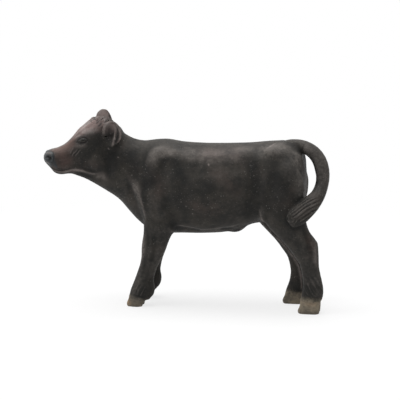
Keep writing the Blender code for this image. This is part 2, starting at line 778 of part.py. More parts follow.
def paint(obj):
    material = bpy.data.materials.new(obj.name + "_plastic")
    material.use_nodes = True
    shader = material.node_tree.nodes["Principled BSDF"]
    shader.inputs["Base Color"].default_value = (*COLOURS[obj.name], 1)
    shader.inputs["Roughness"].default_value = ROUGHNESS
    shader.inputs["Metallic"].default_value = 0
    material.diffuse_color = (*COLOURS[obj.name], 1)
    obj.data.materials.clear()
    obj.data.materials.append(material)


def seat_on_ground(pieces):
    """Moves all pieces so that the figure's box stands centred on the origin."""
    points = np.array([v.co for piece in pieces for v in piece.data.vertices])
    low, high = points.min(axis=0), points.max(axis=0)
    shift = Matrix.Translation((-(low[0] + high[0]) / 2, -(low[1] + high[1]) / 2, -low[2]))
    for piece in pieces:
        piece.data.transform(shift)


def build():
    clear_scene()
    parts = new_collection("toy_calf")
    cutters = new_collection("toy_calf_cutters")
    flesh = [trunk(cutters), neck(cutters)] + muscles(cutters)
    skull = [head_skull(cutters)] + face(cutters)
    forms = [voxel_union("flesh_form", flesh, FLESH_SMOOTHING_STEPS, cutters),
             voxel_union("head_form", skull, HEAD_SMOOTHING_STEPS, cutters)]
    for kind in ("fore", "hind"):
        for side in (-1, 1):
            forms += leg(kind, side, cutters)
    body = voxel_union("body_form", forms, SEAM_SMOOTHING_STEPS, cutters)
    thin_out(body, BODY_TRIANGLES)
    body_skin = grown(body, GLUE_GAP, BODY_TRIANGLES, cutters)
    pieces = cut_body(body, parts, cutters)

    joint = LEG_JOINT_SHARE
    for kind, rows in (("fore", FORE_SHARES), ("hind", HIND_SHARES)):
        for side, side_name in ((-1, "left"), (1, "right")):
            seat = leg_centre(kind, side, joint, between(rows, joint, 1))
            fit_peg(pieces[side_name + "_" + kind + "leg"], pieces["torso"], seat, (0, 0, 1),
                    LEG_PEG_DIAMETER, LEG_PEG_LENGTH, cutters)
    neck_frame = neck_joint_frame()
    fit_peg(pieces["head"], pieces["torso"], neck_frame.translation, -neck_frame.col[0].to_3d(),
            NECK_PEG_DIAMETER, NECK_PEG_LENGTH, cutters)
    for side, name in ((-1, "left_ear"), (1, "right_ear")):
        pieces[name], seat, inward = ear(side, body_skin, cutters, parts)
        fit_peg(pieces[name], pieces["head"], seat, inward, EAR_PEG_DIAMETER,
                EAR_PEG_LENGTH, cutters)
    pieces["tail"], seat, inward = tail(body_skin, parts)
    fit_peg(pieces["tail"], pieces["torso"], seat, inward, TAIL_PEG_DIAMETER,
            TAIL_PEG_LENGTH, cutters)

    for obj in (body, body_skin):
        bpy.data.objects.remove(obj, do_unlink=True)
    for piece in pieces.values():
        paint(piece)
        piece.data.shade_smooth()
        piece.data.set_sharp_from_angle(angle=SHARP_ANGLE)
    seat_on_ground(list(pieces.values()))


build()
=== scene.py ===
"""Looks of the toy calf figure: its moulded, hand-painted surface, a pale floor and soft light.

Lengths are in metres, in the frame's axes: the calf faces -X, its left side is at -Y, +Z is up.
Places on the figure are read off the photograph, 400 by 400 pixels, and the script finds them on
the surface by looking through the camera.
"""
import math
from contextlib import contextmanager

import bmesh
import bpy
import numpy as np
from mathutils import Matrix, Vector
from mathutils.bvhtree import BVHTree


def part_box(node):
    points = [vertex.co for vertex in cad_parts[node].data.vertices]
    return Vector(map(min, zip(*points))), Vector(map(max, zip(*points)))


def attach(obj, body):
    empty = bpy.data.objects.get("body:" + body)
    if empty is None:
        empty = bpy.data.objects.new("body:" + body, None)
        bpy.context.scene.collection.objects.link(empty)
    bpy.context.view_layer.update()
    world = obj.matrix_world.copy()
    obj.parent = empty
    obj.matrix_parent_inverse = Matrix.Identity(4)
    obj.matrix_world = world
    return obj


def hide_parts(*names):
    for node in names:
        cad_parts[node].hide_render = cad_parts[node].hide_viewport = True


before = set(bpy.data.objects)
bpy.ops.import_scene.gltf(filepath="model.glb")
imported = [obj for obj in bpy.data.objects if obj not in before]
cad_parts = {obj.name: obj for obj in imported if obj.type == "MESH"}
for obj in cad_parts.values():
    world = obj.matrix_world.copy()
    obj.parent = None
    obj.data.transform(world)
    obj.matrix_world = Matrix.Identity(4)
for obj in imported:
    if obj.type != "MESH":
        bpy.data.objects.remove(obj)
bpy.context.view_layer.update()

MM = 0.001

# Camera
IMAGE_SIDE = 400
SENSOR = 36.0
CAMERA_AZIMUTH = math.radians(10)
CAMERA_ELEVATION = math.radians(10)
CAMERA_DISTANCE = 400 * MM
CAMERA_TARGET = Vector((3.41, 0.44, 29.1)) * MM
PIXELS_PER_MM = 3.636
CAMERA_LENS = PIXELS_PER_MM * CAMERA_DISTANCE / MM * SENSOR / IMAGE_SIDE
CLIP_START = 10 * MM

# Skin
PRESS = 0.45 * MM
COARSE_VOXEL = 0.40 * MM
COARSE_PASSES = 10
TAIL_VOXEL = 0.22 * MM
TAIL_PASSES = 8
FINE_VOXEL = 0.18 * MM
FINE_PASSES = 4
DETAIL_PASSES = 5

BODY_NODES = ("torso", "head", "left_foreleg", "right_foreleg", "left_hindleg", "right_hindleg")
LEG_NODES = BODY_NODES[2:]
EAR_NODES = ("left_ear", "right_ear")
ALL_NODES = BODY_NODES + EAR_NODES + ("tail",)


def mesh_arrays(mesh):
    """Points and edges of a mesh, as arrays."""
    points = np.empty(len(mesh.vertices) * 3)
    mesh.vertices.foreach_get("co", points)
    edges = np.empty(len(mesh.edges) * 2, dtype=np.int64)
    mesh.edges.foreach_get("vertices", edges)
    return points.reshape(-1, 3), edges.reshape(-1, 2)


@contextmanager
def edited(mesh):
    """A mesh as a bmesh, whose changes the mesh takes over in the end."""
    bm = bmesh.new()
    bm.from_mesh(mesh)
    yield bm
    bm.to_mesh(mesh)
    bm.free()


def mesh_of(bm, name):
    """A new mesh with the forms of a bmesh."""
    mesh = bpy.data.meshes.new(name)
    bm.to_mesh(mesh)
    bm.free()
    return mesh


def tree_of(mesh):
    """A tree that finds the nearest place on a mesh, or the first one along a ray."""
    bm = bmesh.new()
    bm.from_mesh(mesh)
    tree = BVHTree.FromBMesh(bm)
    bm.free()
    return tree


def new_object(name, data):
    obj = bpy.data.objects.new(name, data)
    bpy.context.scene.collection.objects.link(obj)
    return obj


def joined(name, meshes_and_shifts):
    """One mesh from several, each moved by its own shift."""
    bm = bmesh.new()
    for mesh, shift in meshes_and_shifts:
        first = len(bm.verts)
        bm.from_mesh(mesh)
        bm.verts.ensure_lookup_table()
        bmesh.ops.translate(bm, verts=bm.verts[first:], vec=shift)
    return mesh_of(bm, name)


def with_modifier(mesh, kind, **settings):
    """A mesh as a modifier of the given kind leaves it."""
    obj = new_object(mesh.name + "_changed", mesh)
    modifier = obj.modifiers.new("change", kind)
    for key, value in settings.items():
        setattr(modifier, key, value)
    bpy.context.view_layer.update()
    changed = bpy.data.meshes.new_from_object(obj.evaluated_get(bpy.context.evaluated_depsgraph_get()))
    bpy.data.objects.remove(obj, do_unlink=True)
    return changed


def remeshed(mesh, voxel):
    """The skin of a mesh as an even net of quads."""
    return with_modifier(mesh, "REMESH", mode="VOXEL", voxel_size=voxel)


def neighbour_means(points, edges, counts):
    means = np.empty_like(points)
    for axis in range(points.shape[1]):
        values = points[:, axis]
        means[:, axis] = (np.bincount(edges[:, 0], values[edges[:, 1]], len(points))
                          + np.bincount(edges[:, 1], values[edges[:, 0]], len(points))) / counts
    return means


def relaxed(points, edges, passes):
    """Points smoothed by turns inwards and back outwards, so that thin forms keep their size."""
    inward, outward = 0.6, -0.62
    counts = np.maximum(np.bincount(edges.ravel(), minlength=len(points)), 1)
    for step in range(2 * passes):
        factor = inward if step % 2 == 0 else outward
        points = points + factor * (neighbour_means(points, edges, counts) - points)
    return points


def smooth_mesh(mesh, passes):
    points, edges = mesh_arrays(mesh)
    mesh.vertices.foreach_set("co", relaxed(points, edges, passes).ravel())
    mesh.update()
    return mesh


def flat_patch(node):
    """The middle and outward normal of a node's largest flat face, where it was parted."""
    patches = {}
    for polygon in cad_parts[node].data.polygons:
        key = tuple(round(c, 2) for c in polygon.normal)
        patch = patches.setdefault(key, [0.0, Vector(), Vector()])
        patch[0] += polygon.area
        patch[1] += polygon.center * polygon.area
        patch[2] += polygon.normal * polygon.area
    area, middle, normal = max(patches.values(), key=lambda patch: patch[0])
    return middle / area, normal.normalized()


def keep_outer_shell(mesh):
    """Drops the closed skins inside the sockets, which the largest skin surrounds."""
    points, edges = mesh_arrays(mesh)
    labels = np.arange(len(points))
    while True:
        lowest = np.minimum(labels[edges[:, 0]], labels[edges[:, 1]])
        updated = labels.copy()
        np.minimum.at(updated, edges[:, 0], lowest)
        np.minimum.at(updated, edges[:, 1], lowest)
        updated = updated[updated]
        if np.array_equal(updated, labels):
            break
        labels = updated
    largest = np.bincount(labels).argmax()
    with edited(mesh) as bm:
        bm.verts.ensure_lookup_table()
        inner = [bm.verts[i] for i in np.nonzero(labels != largest)[0]]
        bmesh.ops.delete(bm, geom=inner, context="VERTS")
    return mesh


neck_middle, neck_out = flat_patch("head")
leg_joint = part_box("torso")[0].z


def body_skin():
    """Body, head and legs as one smooth skin, their glue gaps pressed shut."""
    parts = []
    for node in BODY_NODES:
        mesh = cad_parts[node].data
        parts.append((mesh, Vector()))
        if node in LEG_NODES:
            parts.append((mesh, Vector((0, 0, PRESS))))
        if node == "head":
            parts.append((mesh, neck_out * PRESS))
    for node in EAR_NODES:
        stub = ear_stub(node)
        parts += [(stub, Vector()), (stub, -ear_directions(node)[1] * PRESS)]
    net = keep_outer_shell(remeshed(joined("body", parts), COARSE_VOXEL))
    return with_modifier(smooth_mesh(net, COARSE_PASSES), "SUBSURF", levels=1, render_levels=1)


def centre_of(node):
    low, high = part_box(node)
    return (low + high) / 2


# Mirror planes: a point on each, and the way across it to the calf's right
body_across = Vector((0, 1, 0))
body_middle = (centre_of("left_foreleg") + centre_of("right_foreleg")) / 2
HEAD_TURN = math.radians(20)
HEAD_ROLL = math.radians(4)
head_across = Vector((-math.sin(HEAD_TURN) * math.cos(HEAD_ROLL),
                      math.cos(HEAD_TURN) * math.cos(HEAD_ROLL), math.sin(HEAD_ROLL)))
head_forward = Vector((-math.cos(HEAD_TURN), -math.sin(HEAD_TURN), 0))
head_upward = head_across.cross(head_forward)
head_middle = (centre_of("left_ear") + centre_of("right_ear")) / 2
fore_step = centre_of("right_foreleg").x - centre_of("left_foreleg").x
hind_step = centre_of("right_hindleg").x - centre_of("left_hindleg").x


def reflected(point, middle, across):
    return point - 2 * (point - middle).dot(across) * across


def tube(name, places, radius):
    """A round tube with domed ends along a line of places, to fill a gap that glue would fill."""
    curve = bpy.data.curves.new(name, "CURVE")
    curve.dimensions = "3D"
    curve.bevel_depth = radius
    curve.bevel_resolution = 5
    curve.use_fill_caps = True
    spline = curve.splines.new("POLY")
    spline.points.add(len(places) - 1)
    for point, place in zip(spline.points, places):
        point.co = (*place, 1)
    obj = new_object(name, curve)
    bpy.context.view_layer.update()
    mesh = bpy.data.meshes.new_from_object(obj)
    bpy.data.objects.remove(obj, do_unlink=True)
    return mesh


# Ears: cupped leaves, each with a fold along its inside. The photo shows the right one further ahead.
EAR_AHEAD = {"left_ear": 0.2, "right_ear": 0.6}
EAR_ASIDE = 4.8
EAR_ABOVE = -2.2
EAR_LENGTH = 7.9 * MM
EAR_HALF_WIDTH = 2.8 * MM
EAR_HALF_WALL = 0.36 * MM
EAR_RISE = math.radians(50)
EAR_SWEEP = math.radians(2)
EAR_FACING = math.radians(40)
# Place along the ear and half width there, as shares of the whole, and the cup's depth in mm
EAR_ROWS = ((-0.16, 0.10, 0.4), (-0.06, 0.34, 1.3), (0.06, 0.58, 1.9), (0.20, 0.80, 2.1), (0.34, 0.93, 2.0),
            (0.48, 1.00, 1.9), (0.62, 0.99, 1.75), (0.74, 0.93, 1.5), (0.85, 0.78, 1.2), (0.93, 0.58, 0.9),
            (0.975, 0.38, 0.6), (1.00, 0.12, 0.4))
EAR_COLUMNS = 32
EAR_SET_BACK = 0.25 * MM
EAR_CUP_SHARE = 0.75
EAR_CUP_MIDDLE = 0.5
EAR_FOLD_PLACE = -0.42
EAR_FOLD_WIDTH = 0.16
EAR_FOLD_HEIGHT = 0.55 * MM
EAR_FOLD_START = 0.02
EAR_FOLD_END = 0.86
EAR_FOLD_RISE = 12
EAR_ROOT_PLACE = -0.5 * MM
EAR_ROOT_RADIUS = 1.45 * MM
EAR_ROOT_HALF_LENGTH = 2.9 * MM
EAR_STUB_END = 1.0 * MM


def ear_directions(node):
    """An ear's base in the head, and its directions: along it, across it and out of its cup."""
    side = -1 if node == "left_ear" else 1
    base = head_middle + (head_forward * EAR_AHEAD[node] + head_across * side * EAR_ASIDE
                          + head_upward * EAR_ABOVE) * MM
    axis = (head_upward * math.sin(EAR_RISE) + head_across * side * math.cos(EAR_RISE)
            - head_forward * math.sin(EAR_SWEEP)).normalized()
    across = head_forward * math.cos(EAR_FACING) - head_across * side * math.sin(EAR_FACING)
    across = (across - axis * across.dot(axis)).normalized()
    facing = across.cross(axis)
    facing *= math.copysign(1, facing.dot(head_across) * side)
    return base, axis, across, facing


def ear_stub(node):
    """The lower end of the modelled ear, which fills the recess that the head has for it."""
    base, axis = ear_directions(node)[:2]
    bm = bmesh.new()
    bm.from_mesh(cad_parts[node].data)
    bmesh.ops.bisect_plane(bm, geom=bm.verts[:] + bm.edges[:] + bm.faces[:],
                           plane_co=base + axis * EAR_STUB_END, plane_no=axis, clear_outer=True)
    bmesh.ops.holes_fill(bm, edges=[edge for edge in bm.edges if edge.is_boundary], sides=0)
    return mesh_of(bm, node + "_stub")


def ear_root(node):
    """The ear's rounded root, which fills its socket in the head."""
    base, axis, across, facing = ear_directions(node)
    turn = Matrix((across, facing, axis)).transposed().to_4x4()
    size = Matrix.Diagonal((EAR_ROOT_RADIUS, EAR_ROOT_RADIUS, EAR_ROOT_HALF_LENGTH, 1))
    place = Matrix.Translation(base + axis * EAR_ROOT_PLACE) @ turn @ size
    bm = bmesh.new()
    bmesh.ops.create_icosphere(bm, subdivisions=4, radius=1, matrix=place)
    return mesh_of(bm, node + "_root")


def limited(value):
    """A value kept from 0 to 1."""
    return max(0.0, min(1.0, value))


def quarter_round(distance):
    """From 0 at an edge to 1 at half a wall from it, as a round edge rises."""
    share = limited(distance / EAR_HALF_WALL)
    return math.sqrt(share * (2 - share))


def ear_section(place, width, depth):
    """One closed cross-section of the ear: places across it and out of its cup."""
    half_width = width * EAR_HALF_WIDTH
    inside = limited((place - EAR_FOLD_START) * (EAR_FOLD_END - place) * EAR_FOLD_RISE)
    tip = quarter_round((1 - place) * EAR_LENGTH)
    middle = []
    for column in range(EAR_COLUMNS + 1):
        u = math.sin(math.pi * (column / EAR_COLUMNS - 0.5))
        cup = depth * MM * (u * u - EAR_CUP_MIDDLE) * EAR_CUP_SHARE - EAR_SET_BACK
        fold = EAR_FOLD_HEIGHT * inside * math.exp(-((u - EAR_FOLD_PLACE) / EAR_FOLD_WIDTH) ** 2)
        middle.append(Vector((u * half_width, cup + fold)))
    front = []
    rear = []
    for column, point in enumerate(middle):
        along = (middle[min(column + 1, EAR_COLUMNS)] - middle[max(column - 1, 0)]).normalized()
        wall = EAR_HALF_WALL * quarter_round(half_width - abs(point.x)) * tip
        out = Vector((-along.y, along.x)) * wall
        front.append(point + out)
        rear.append(point - out)
    return front + rear[-2:0:-1]


def ear_leaf(node):
    """The ear as a thin cupped leaf with round rims, whose lower end lies inside the head."""
    base, axis, across, facing = ear_directions(node)
    points = []
    for place, width, depth in smooth_line([Vector(row) for row in EAR_ROWS]):
        points += [base + axis * place * EAR_LENGTH + across * x + facing * out
                   for x, out in ear_section(place, width, depth)]
    ring = 2 * EAR_COLUMNS
    last = len(points) - ring
    faces = []
    for start in range(0, last, ring):
        for number in range(ring):
            after = (number + 1) % ring
            faces.append((start + number, start + after, start + ring + after, start + ring + number))
    faces += [tuple(range(ring)), tuple(range(last, last + ring))]
    mesh = bpy.data.meshes.new(node + "_leaf")
    mesh.from_pydata(points, [], faces)
    return mesh


# Places of the tail's root, from the rearmost and highest points of the tail
TAIL_ROOT_PLACES = ((-20.0, -3.9), (-17.0, -3.2), (-14.0, -2.45), (-11.4, -1.9), (-9.4, -1.85),
                    (-7.2, -2.05), (-4.9, -3.1))
TAIL_ROOT_RADIUS = 1.7 * MM


def tail_root():
    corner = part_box("tail")[1]
    places = [Vector((corner.x + x * MM, body_middle.y, corner.z + z * MM)) for x, z in TAIL_ROOT_PLACES]
    return tube("tail_root", smooth_line(places), TAIL_ROOT_RADIUS)


def tail_skin():
    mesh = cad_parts["tail"].data
    inward = Vector((0, PRESS, 0))
    net = remeshed(joined("tail", [(mesh, Vector()), (mesh, inward)]), TAIL_VOXEL)
    return smooth_mesh(net, TAIL_PASSES)


def whole_skin():
    meshes = [body_skin(), tail_root(), tail_skin()]
    for node in EAR_NODES:
        meshes += [ear_leaf(node), ear_root(node)]
    net = keep_outer_shell(remeshed(joined("skin", [(mesh, Vector()) for mesh in meshes]), FINE_VOXEL))
    return smooth_mesh(net, FINE_PASSES)


def refined(mesh, chosen):
    """A mesh with the faces between its chosen points split in four and smoothed again."""
    with edited(mesh) as bm:
        split = [edge for edge in bm.edges if chosen[edge.verts[0].index] and chosen[edge.verts[1].index]]
        bmesh.ops.subdivide_edges(bm, edges=split, cuts=1, use_grid_fill=True)
    mesh.update()
    points, edges = mesh_arrays(mesh)
    moving = np.ones(len(points), dtype=bool)
    moving[:len(chosen)] = chosen
    smooth = relaxed(points, edges, DETAIL_PASSES)
    points[moving] = smooth[moving]
    mesh.vertices.foreach_set("co", points.ravel())
    mesh.update()
    return mesh


FEET_HEIGHT = 8 * MM
TUFT_MIDDLE_SHARE = 0.36


def detail_points(mesh):
    """Which points of the skin lie on the head, ears, tuft or feet, where the forms are finest."""
    points = mesh_arrays(mesh)[0]
    chosen = (points - np.array(neck_middle)) @ -np.array(neck_out) > 0
    chosen &= points[:, 2] > leg_joint
    chosen |= points[:, 2] < FEET_HEIGHT
    for node in EAR_NODES:
        low, high = (np.array(corner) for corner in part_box(node))
        chosen |= np.all((points > low) & (points < high), axis=1)
    low, high = (np.array(corner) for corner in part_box("tail"))
    tuft = np.all((points > low) & (points < high), axis=1)
    return chosen | (tuft & (points[:, 2] < low[2] + TUFT_MIDDLE_SHARE * (high - low)[2]))


# Looking through the camera
back = Vector((math.sin(CAMERA_AZIMUTH) * math.cos(CAMERA_ELEVATION),
               -math.cos(CAMERA_AZIMUTH) * math.cos(CAMERA_ELEVATION),
               math.sin(CAMERA_ELEVATION)))
right = Vector((math.cos(CAMERA_AZIMUTH), math.sin(CAMERA_AZIMUTH), 0))
up = back.cross(right)
eye_point = CAMERA_TARGET + back * CAMERA_DISTANCE


def add_camera():
    camera = new_object("camera", bpy.data.cameras.new("camera"))
    camera.data.lens = CAMERA_LENS
    camera.data.clip_start = CLIP_START
    camera.location = eye_point
    camera.rotation_euler = Matrix((right, up, back)).transposed().to_euler()
    bpy.context.scene.camera = camera


def sight(pixel):
    """The direction from the camera through a pixel of the photograph."""
    focal = CAMERA_LENS * IMAGE_SIDE / SENSOR
    x, y = pixel
    middle = IMAGE_SIDE / 2
    return (right * (x - middle) / focal + up * (middle - y) / focal - back).normalized()


def to_other_side(point, side):
    """Where a point of the left side lies on the right side, for strokes on body, head or legs."""
    if side == "head":
        return reflected(point, head_middle, head_across)
    step = {"body": 0, "fore": fore_step, "hind": hind_step}[side]
    return reflected(point, body_middle, body_across) + Vector((step, 0, 0))


# Brushes: how a stroke fades at its ends and edges and on skin that turns away from it
TAPER_SHARE = 0.22
THIN_LENGTH = 12.0
BROAD_BRUSH = 1.0 * MM
REACH = 2.6
FACING_GAIN = 2.0
FACING_BIAS = 0.5
LEAST_SQUARE = 1e-18
# How far before and behind the figure a stroke's point is looked for
SEARCH_DEPTH = 15 * MM
SOFTEN_STEP = 0.5
FAINT = 0.01


class Surface:
    """The skin while it is worked: its points, edges, normals and a tree for finding places on it."""

    def __init__(self, mesh):
        self.mesh = mesh
        self.points, self.edges = mesh_arrays(mesh)
        self.counts = np.bincount(self.edges.ravel(), minlength=len(self.points))
        self.refresh()

    def refresh(self):
        self.mesh.vertices.foreach_set("co", self.points.ravel())
        self.mesh.update()
        normals = np.empty(self.points.size)
        self.mesh.vertex_normals.foreach_get("vector", normals)
        self.normals = normals.reshape(-1, 3)
        self.tree = tree_of(self.mesh)

    def seen(self, pixel):
        """The place on the skin that shows at a pixel, or the nearest to it for one just off the edge."""
        direction = sight(pixel)
        hit = self.tree.ray_cast(eye_point, direction)[0]
        if hit is not None:
            return hit
        depths = np.arange(CAMERA_DISTANCE - SEARCH_DEPTH, CAMERA_DISTANCE + SEARCH_DEPTH, MM)
        found = [self.tree.find_nearest(eye_point + direction * depth) for depth in depths]
        return min(found, key=lambda near: near[3])[0]

    def paths(self, pixels, side):
        """A stroke's line on the left side, and its mirror on the right unless side is None."""
        line = [self.seen(pixel) for pixel in pixels]
        lines = [line]
        if side is not None:
            lines.append([self.tree.find_nearest(to_other_side(p, side))[0] for p in line])
        return lines

    def under_stroke(self, line, half_width):
        """The points under a stroke, and how fully it covers each: less at its edges and its ends."""
        facing = np.mean([self.tree.find_nearest(p)[1] for p in line], axis=0)
        facing /= np.linalg.norm(facing)
        reach = REACH * half_width
        line = np.array(smooth_line(line))
        low, high = line.min(axis=0) - reach, line.max(axis=0) + reach
        index = np.nonzero(np.all((self.points > low) & (self.points < high), axis=1))[0]
        points = self.points[index]
        distance = np.linalg.norm(points - line[0], axis=1)
        place = np.zeros(len(index))
        for number, (start, end) in enumerate(zip(line, line[1:])):
            along = end - start
            t = np.clip((points - start) @ along / max(along @ along, LEAST_SQUARE), 0, 1)
            gap = np.linalg.norm(points - start - t[:, None] * along, axis=1)
            nearer = gap < distance
            distance[nearer] = gap[nearer]
            place[nearer] = (number + t[nearer]) / (len(line) - 1)
        length = np.linalg.norm(np.diff(line, axis=0), axis=1).sum()
        thin = min(1.0, length / half_width / THIN_LENGTH)
        taper = np.clip(np.minimum(place, 1 - place) / TAPER_SHARE, 0, 1)
        taper = 1 - thin * (1 - taper * (2 - taper))
        agreement = np.clip(FACING_GAIN * (self.normals[index] @ facing) + FACING_BIAS, 0, 1)
        if half_width > BROAD_BRUSH:
            agreement = np.ones(len(index))
        return index, agreement * taper * np.exp(-(distance / half_width) ** 2)

    def soft_mask(self, strokes):
        """Coverage from 0 to 1 by strokes of (strength, half width in mm, side, pixels)."""
        mask = np.zeros(len(self.points))
        for strength, half_width, side, pixels in strokes:
            for line in self.paths(pixels, side):
                index, cover = self.under_stroke(line, half_width * MM)
                mask[index] = np.maximum(mask[index], strength * cover)
        return mask

    def soften(self, passes, strokes):
        """Smooths the skin under strokes of (strength, half width in mm, side, pixels)."""
        mask = self.soft_mask(strokes)[:, None]
        index = np.nonzero(mask[:, 0] > FAINT)[0]
        links = np.isin(self.edges, index).any(axis=1)
        edges = self.edges[links]
        counts = np.maximum(np.bincount(edges.ravel(), minlength=len(self.points)), 1)
        for _ in range(passes):
            means = neighbour_means(self.points, edges, counts)
            self.points[index] += SOFTEN_STEP * mask[index] * (means[index] - self.points[index])
        self.refresh()

    def sculpt(self, strokes, lines=()):
        """Raises or sinks the skin along strokes of (height in mm, half width in mm, side, pixels).

        Lines are the same with their points already found on the skin: (height, half width, points).
        """
        lift = np.zeros(len(self.points))
        found = [(height, half_width, line) for height, half_width, side, pixels in strokes
                 for line in self.paths(pixels, side)]
        for height, half_width, line in found + list(lines):
            index, cover = self.under_stroke(line, half_width * MM)
            lift[index] += height * MM * cover
        self.points += lift[:, None] * self.normals
        self.refresh()


LINE_STEPS = 4


def smooth_line(line):
    """A line with Catmull-Rom points between its own."""
    if len(line) < 3:
        return line
    line = [Vector(p) for p in line]
    padded = [line[0] * 2 - line[1]] + line + [line[-1] * 2 - line[-2]]
    result = []
    for before, start, end, after in zip(padded, padded[1:], padded[2:], padded[3:]):
        for step in range(LINE_STEPS):
            t = step / LINE_STEPS
            result.append(0.5 * (2 * start + (end - before) * t
                                 + (2 * before - 5 * start + 4 * end - after) * t**2
                                 + (3 * start - before - 3 * end + after) * t**3))
    result.append(line[-1])
    return result


# Curls of the poll: where they grow, how thickly, and each one's size in mm
POLL_PIXEL = (102, 119)
POLL_REACH = 4.8
POLL_FADE = 2.4
CURL_SPACING = 0.72
CURL_RADIUS = (0.28, 0.50)
CURL_TURN = (0.45, 0.80)
CURL_STEPS = 6
CURL_HEIGHT = 0.20
CURL_HALF_WIDTH = 0.165
CURL_SEED = 7
POLL_UPWARD = 0.2


def poll_curls(surface):
    """Small hooked locks over the poll, on both sides of the head, at seeded places."""
    draw = np.random.default_rng(CURL_SEED)
    seen = surface.seen(POLL_PIXEL)
    middle = np.array((seen + reflected(seen, head_middle, head_across)) / 2)
    near = np.linalg.norm(surface.points - middle, axis=1) < POLL_REACH * MM
    upward = surface.normals[:, 2] > POLL_UPWARD
    chosen = []
    for index in draw.permutation(np.nonzero(near & upward)[0]):
        place = surface.points[index]
        if all(np.linalg.norm(place - surface.points[i]) > CURL_SPACING * MM for i in chosen):
            chosen.append(index)
    lines = []
    for index in chosen:
        root = Vector(surface.points[index])
        normal = Vector(surface.normals[index])
        side = normal.orthogonal().normalized()
        other = normal.cross(side)
        start = draw.uniform(0, 2 * math.pi)
        turn = draw.uniform(*CURL_TURN) * draw.choice((-1, 1)) * 2 * math.pi
        radius = draw.uniform(*CURL_RADIUS) * MM
        line = []
        for step in range(CURL_STEPS):
            angle = start + turn * step / (CURL_STEPS - 1)
            point = root + radius * (math.cos(angle) * side + math.sin(angle) * other)
            line.append(surface.tree.find_nearest(point)[0])
        distance = np.linalg.norm(surface.points[index] - middle) / MM
        fade = min(1.0, POLL_FADE * (1 - distance / POLL_REACH))
        lines.append((CURL_HEIGHT * fade, CURL_HALF_WIDTH, line))
    return lines


def mirrored(side, strokes):
    """Strokes of (strength, half width in mm, pixels), with the side that says how they are mirrored."""
    return [(strength, half_width, side, pixels) for strength, half_width, pixels in strokes]


def unmirrored(strokes):
    """Strokes for the left side alone."""
    return mirrored(None, strokes)


# Where glued pieces are blended into what carries them: strength, half width in mm, pixels
BLEND_STROKES = unmirrored([
    (1.0, 1.8, [(276, 142), (282, 141.5), (288, 141)]),
    (1.0, 1.3, [(286, 143.6), (290, 145.4), (294, 148.4), (298, 151.8), (301, 155), (302.6, 158)]),
    (1.0, 1.1, [(296, 147), (300, 149.6), (304, 153)]),
    (0.6, 0.7, [(309, 195), (300, 201), (292, 208), (287, 213)]),
    (0.8, 1.1, [(293, 226), (301, 225), (308, 221), (315, 213)]),
]) + mirrored("body", [
    (1.0, 1.5, [(300, 158), (302, 168), (303, 178), (304, 188), (304, 194)]),
]) + mirrored("head", [
    (1.0, 1.0, [(104, 140), (105, 144), (107, 147), (110, 148.6), (113, 148), (115, 145)]),
    (1.0, 0.8, [(104.6, 137), (107, 137.4), (110, 137.4), (112.6, 137)]),
    (1.0, 0.8, [(104, 142), (107, 142.4), (110.6, 142.6)]),
])
BLEND_PASSES = 150

# Large forms: height and half width in mm, pixels
FORM_STROKES = mirrored("body", [
    (-0.30, 2.0, [(168, 165), (175, 168), (180, 177), (181, 192)]),
    (0.22, 2.0, [(151, 158), (155, 152.6), (162, 149.4)]),
    (-0.22, 1.8, [(136, 172), (144, 182), (152, 192)]),
    (0.15, 0.9, [(133, 184), (136.6, 190), (140, 199), (143.6, 210), (146, 220)]),
    (-0.22, 0.95, [(127, 182), (132, 192), (136, 202), (139, 212)]),
    (-0.40, 2.2, [(254, 160), (256, 174), (255, 190), (251, 204)]),
    (0.14, 1.3, [(266, 168), (264, 184), (262, 198), (262, 212), (268, 228)]),
    (-0.26, 1.8, [(284, 182), (292, 194), (298, 204)]),
    (0.24, 2.4, [(302.4, 162), (303, 170), (303.2, 180), (302.8, 190)]),
    (-0.34, 1.3, [(187, 229.4), (191, 229.6), (196, 230)]),
    (-0.34, 1.1, [(224.6, 229), (227, 229.2), (229.4, 229)]),
    (0.20, 1.2, [(270, 150), (276, 146), (283, 143.4)]),
    (-0.14, 1.0, [(262, 152), (268, 156), (276, 157)]),
    (0.36, 2.2, [(166, 153), (184, 156), (204, 157), (226, 156.6), (244, 153.6), (256, 150)]),
    (-0.14, 2.0, [(184, 169), (204, 171), (226, 170), (242, 166)]),
    (-0.09, 0.8, [(173, 228.6), (180, 227.2), (190, 229)]),
    (-0.09, 0.8, [(222, 229.6), (231, 227.6), (239, 225)]),
]) + unmirrored([
    (0.60, 1.3, [(303, 148), (307, 150.4), (311, 154), (315, 160.6), (317.4, 168), (318, 176)]),
    (0.42, 1.0, [(233, 230.4), (238, 229.6), (242, 227.6)]),
    (0.18, 0.8, [(170, 231), (178, 230.8), (188, 230)]),
    (0.18, 0.9, [(228, 229), (234, 230), (240, 228.6)]),
])

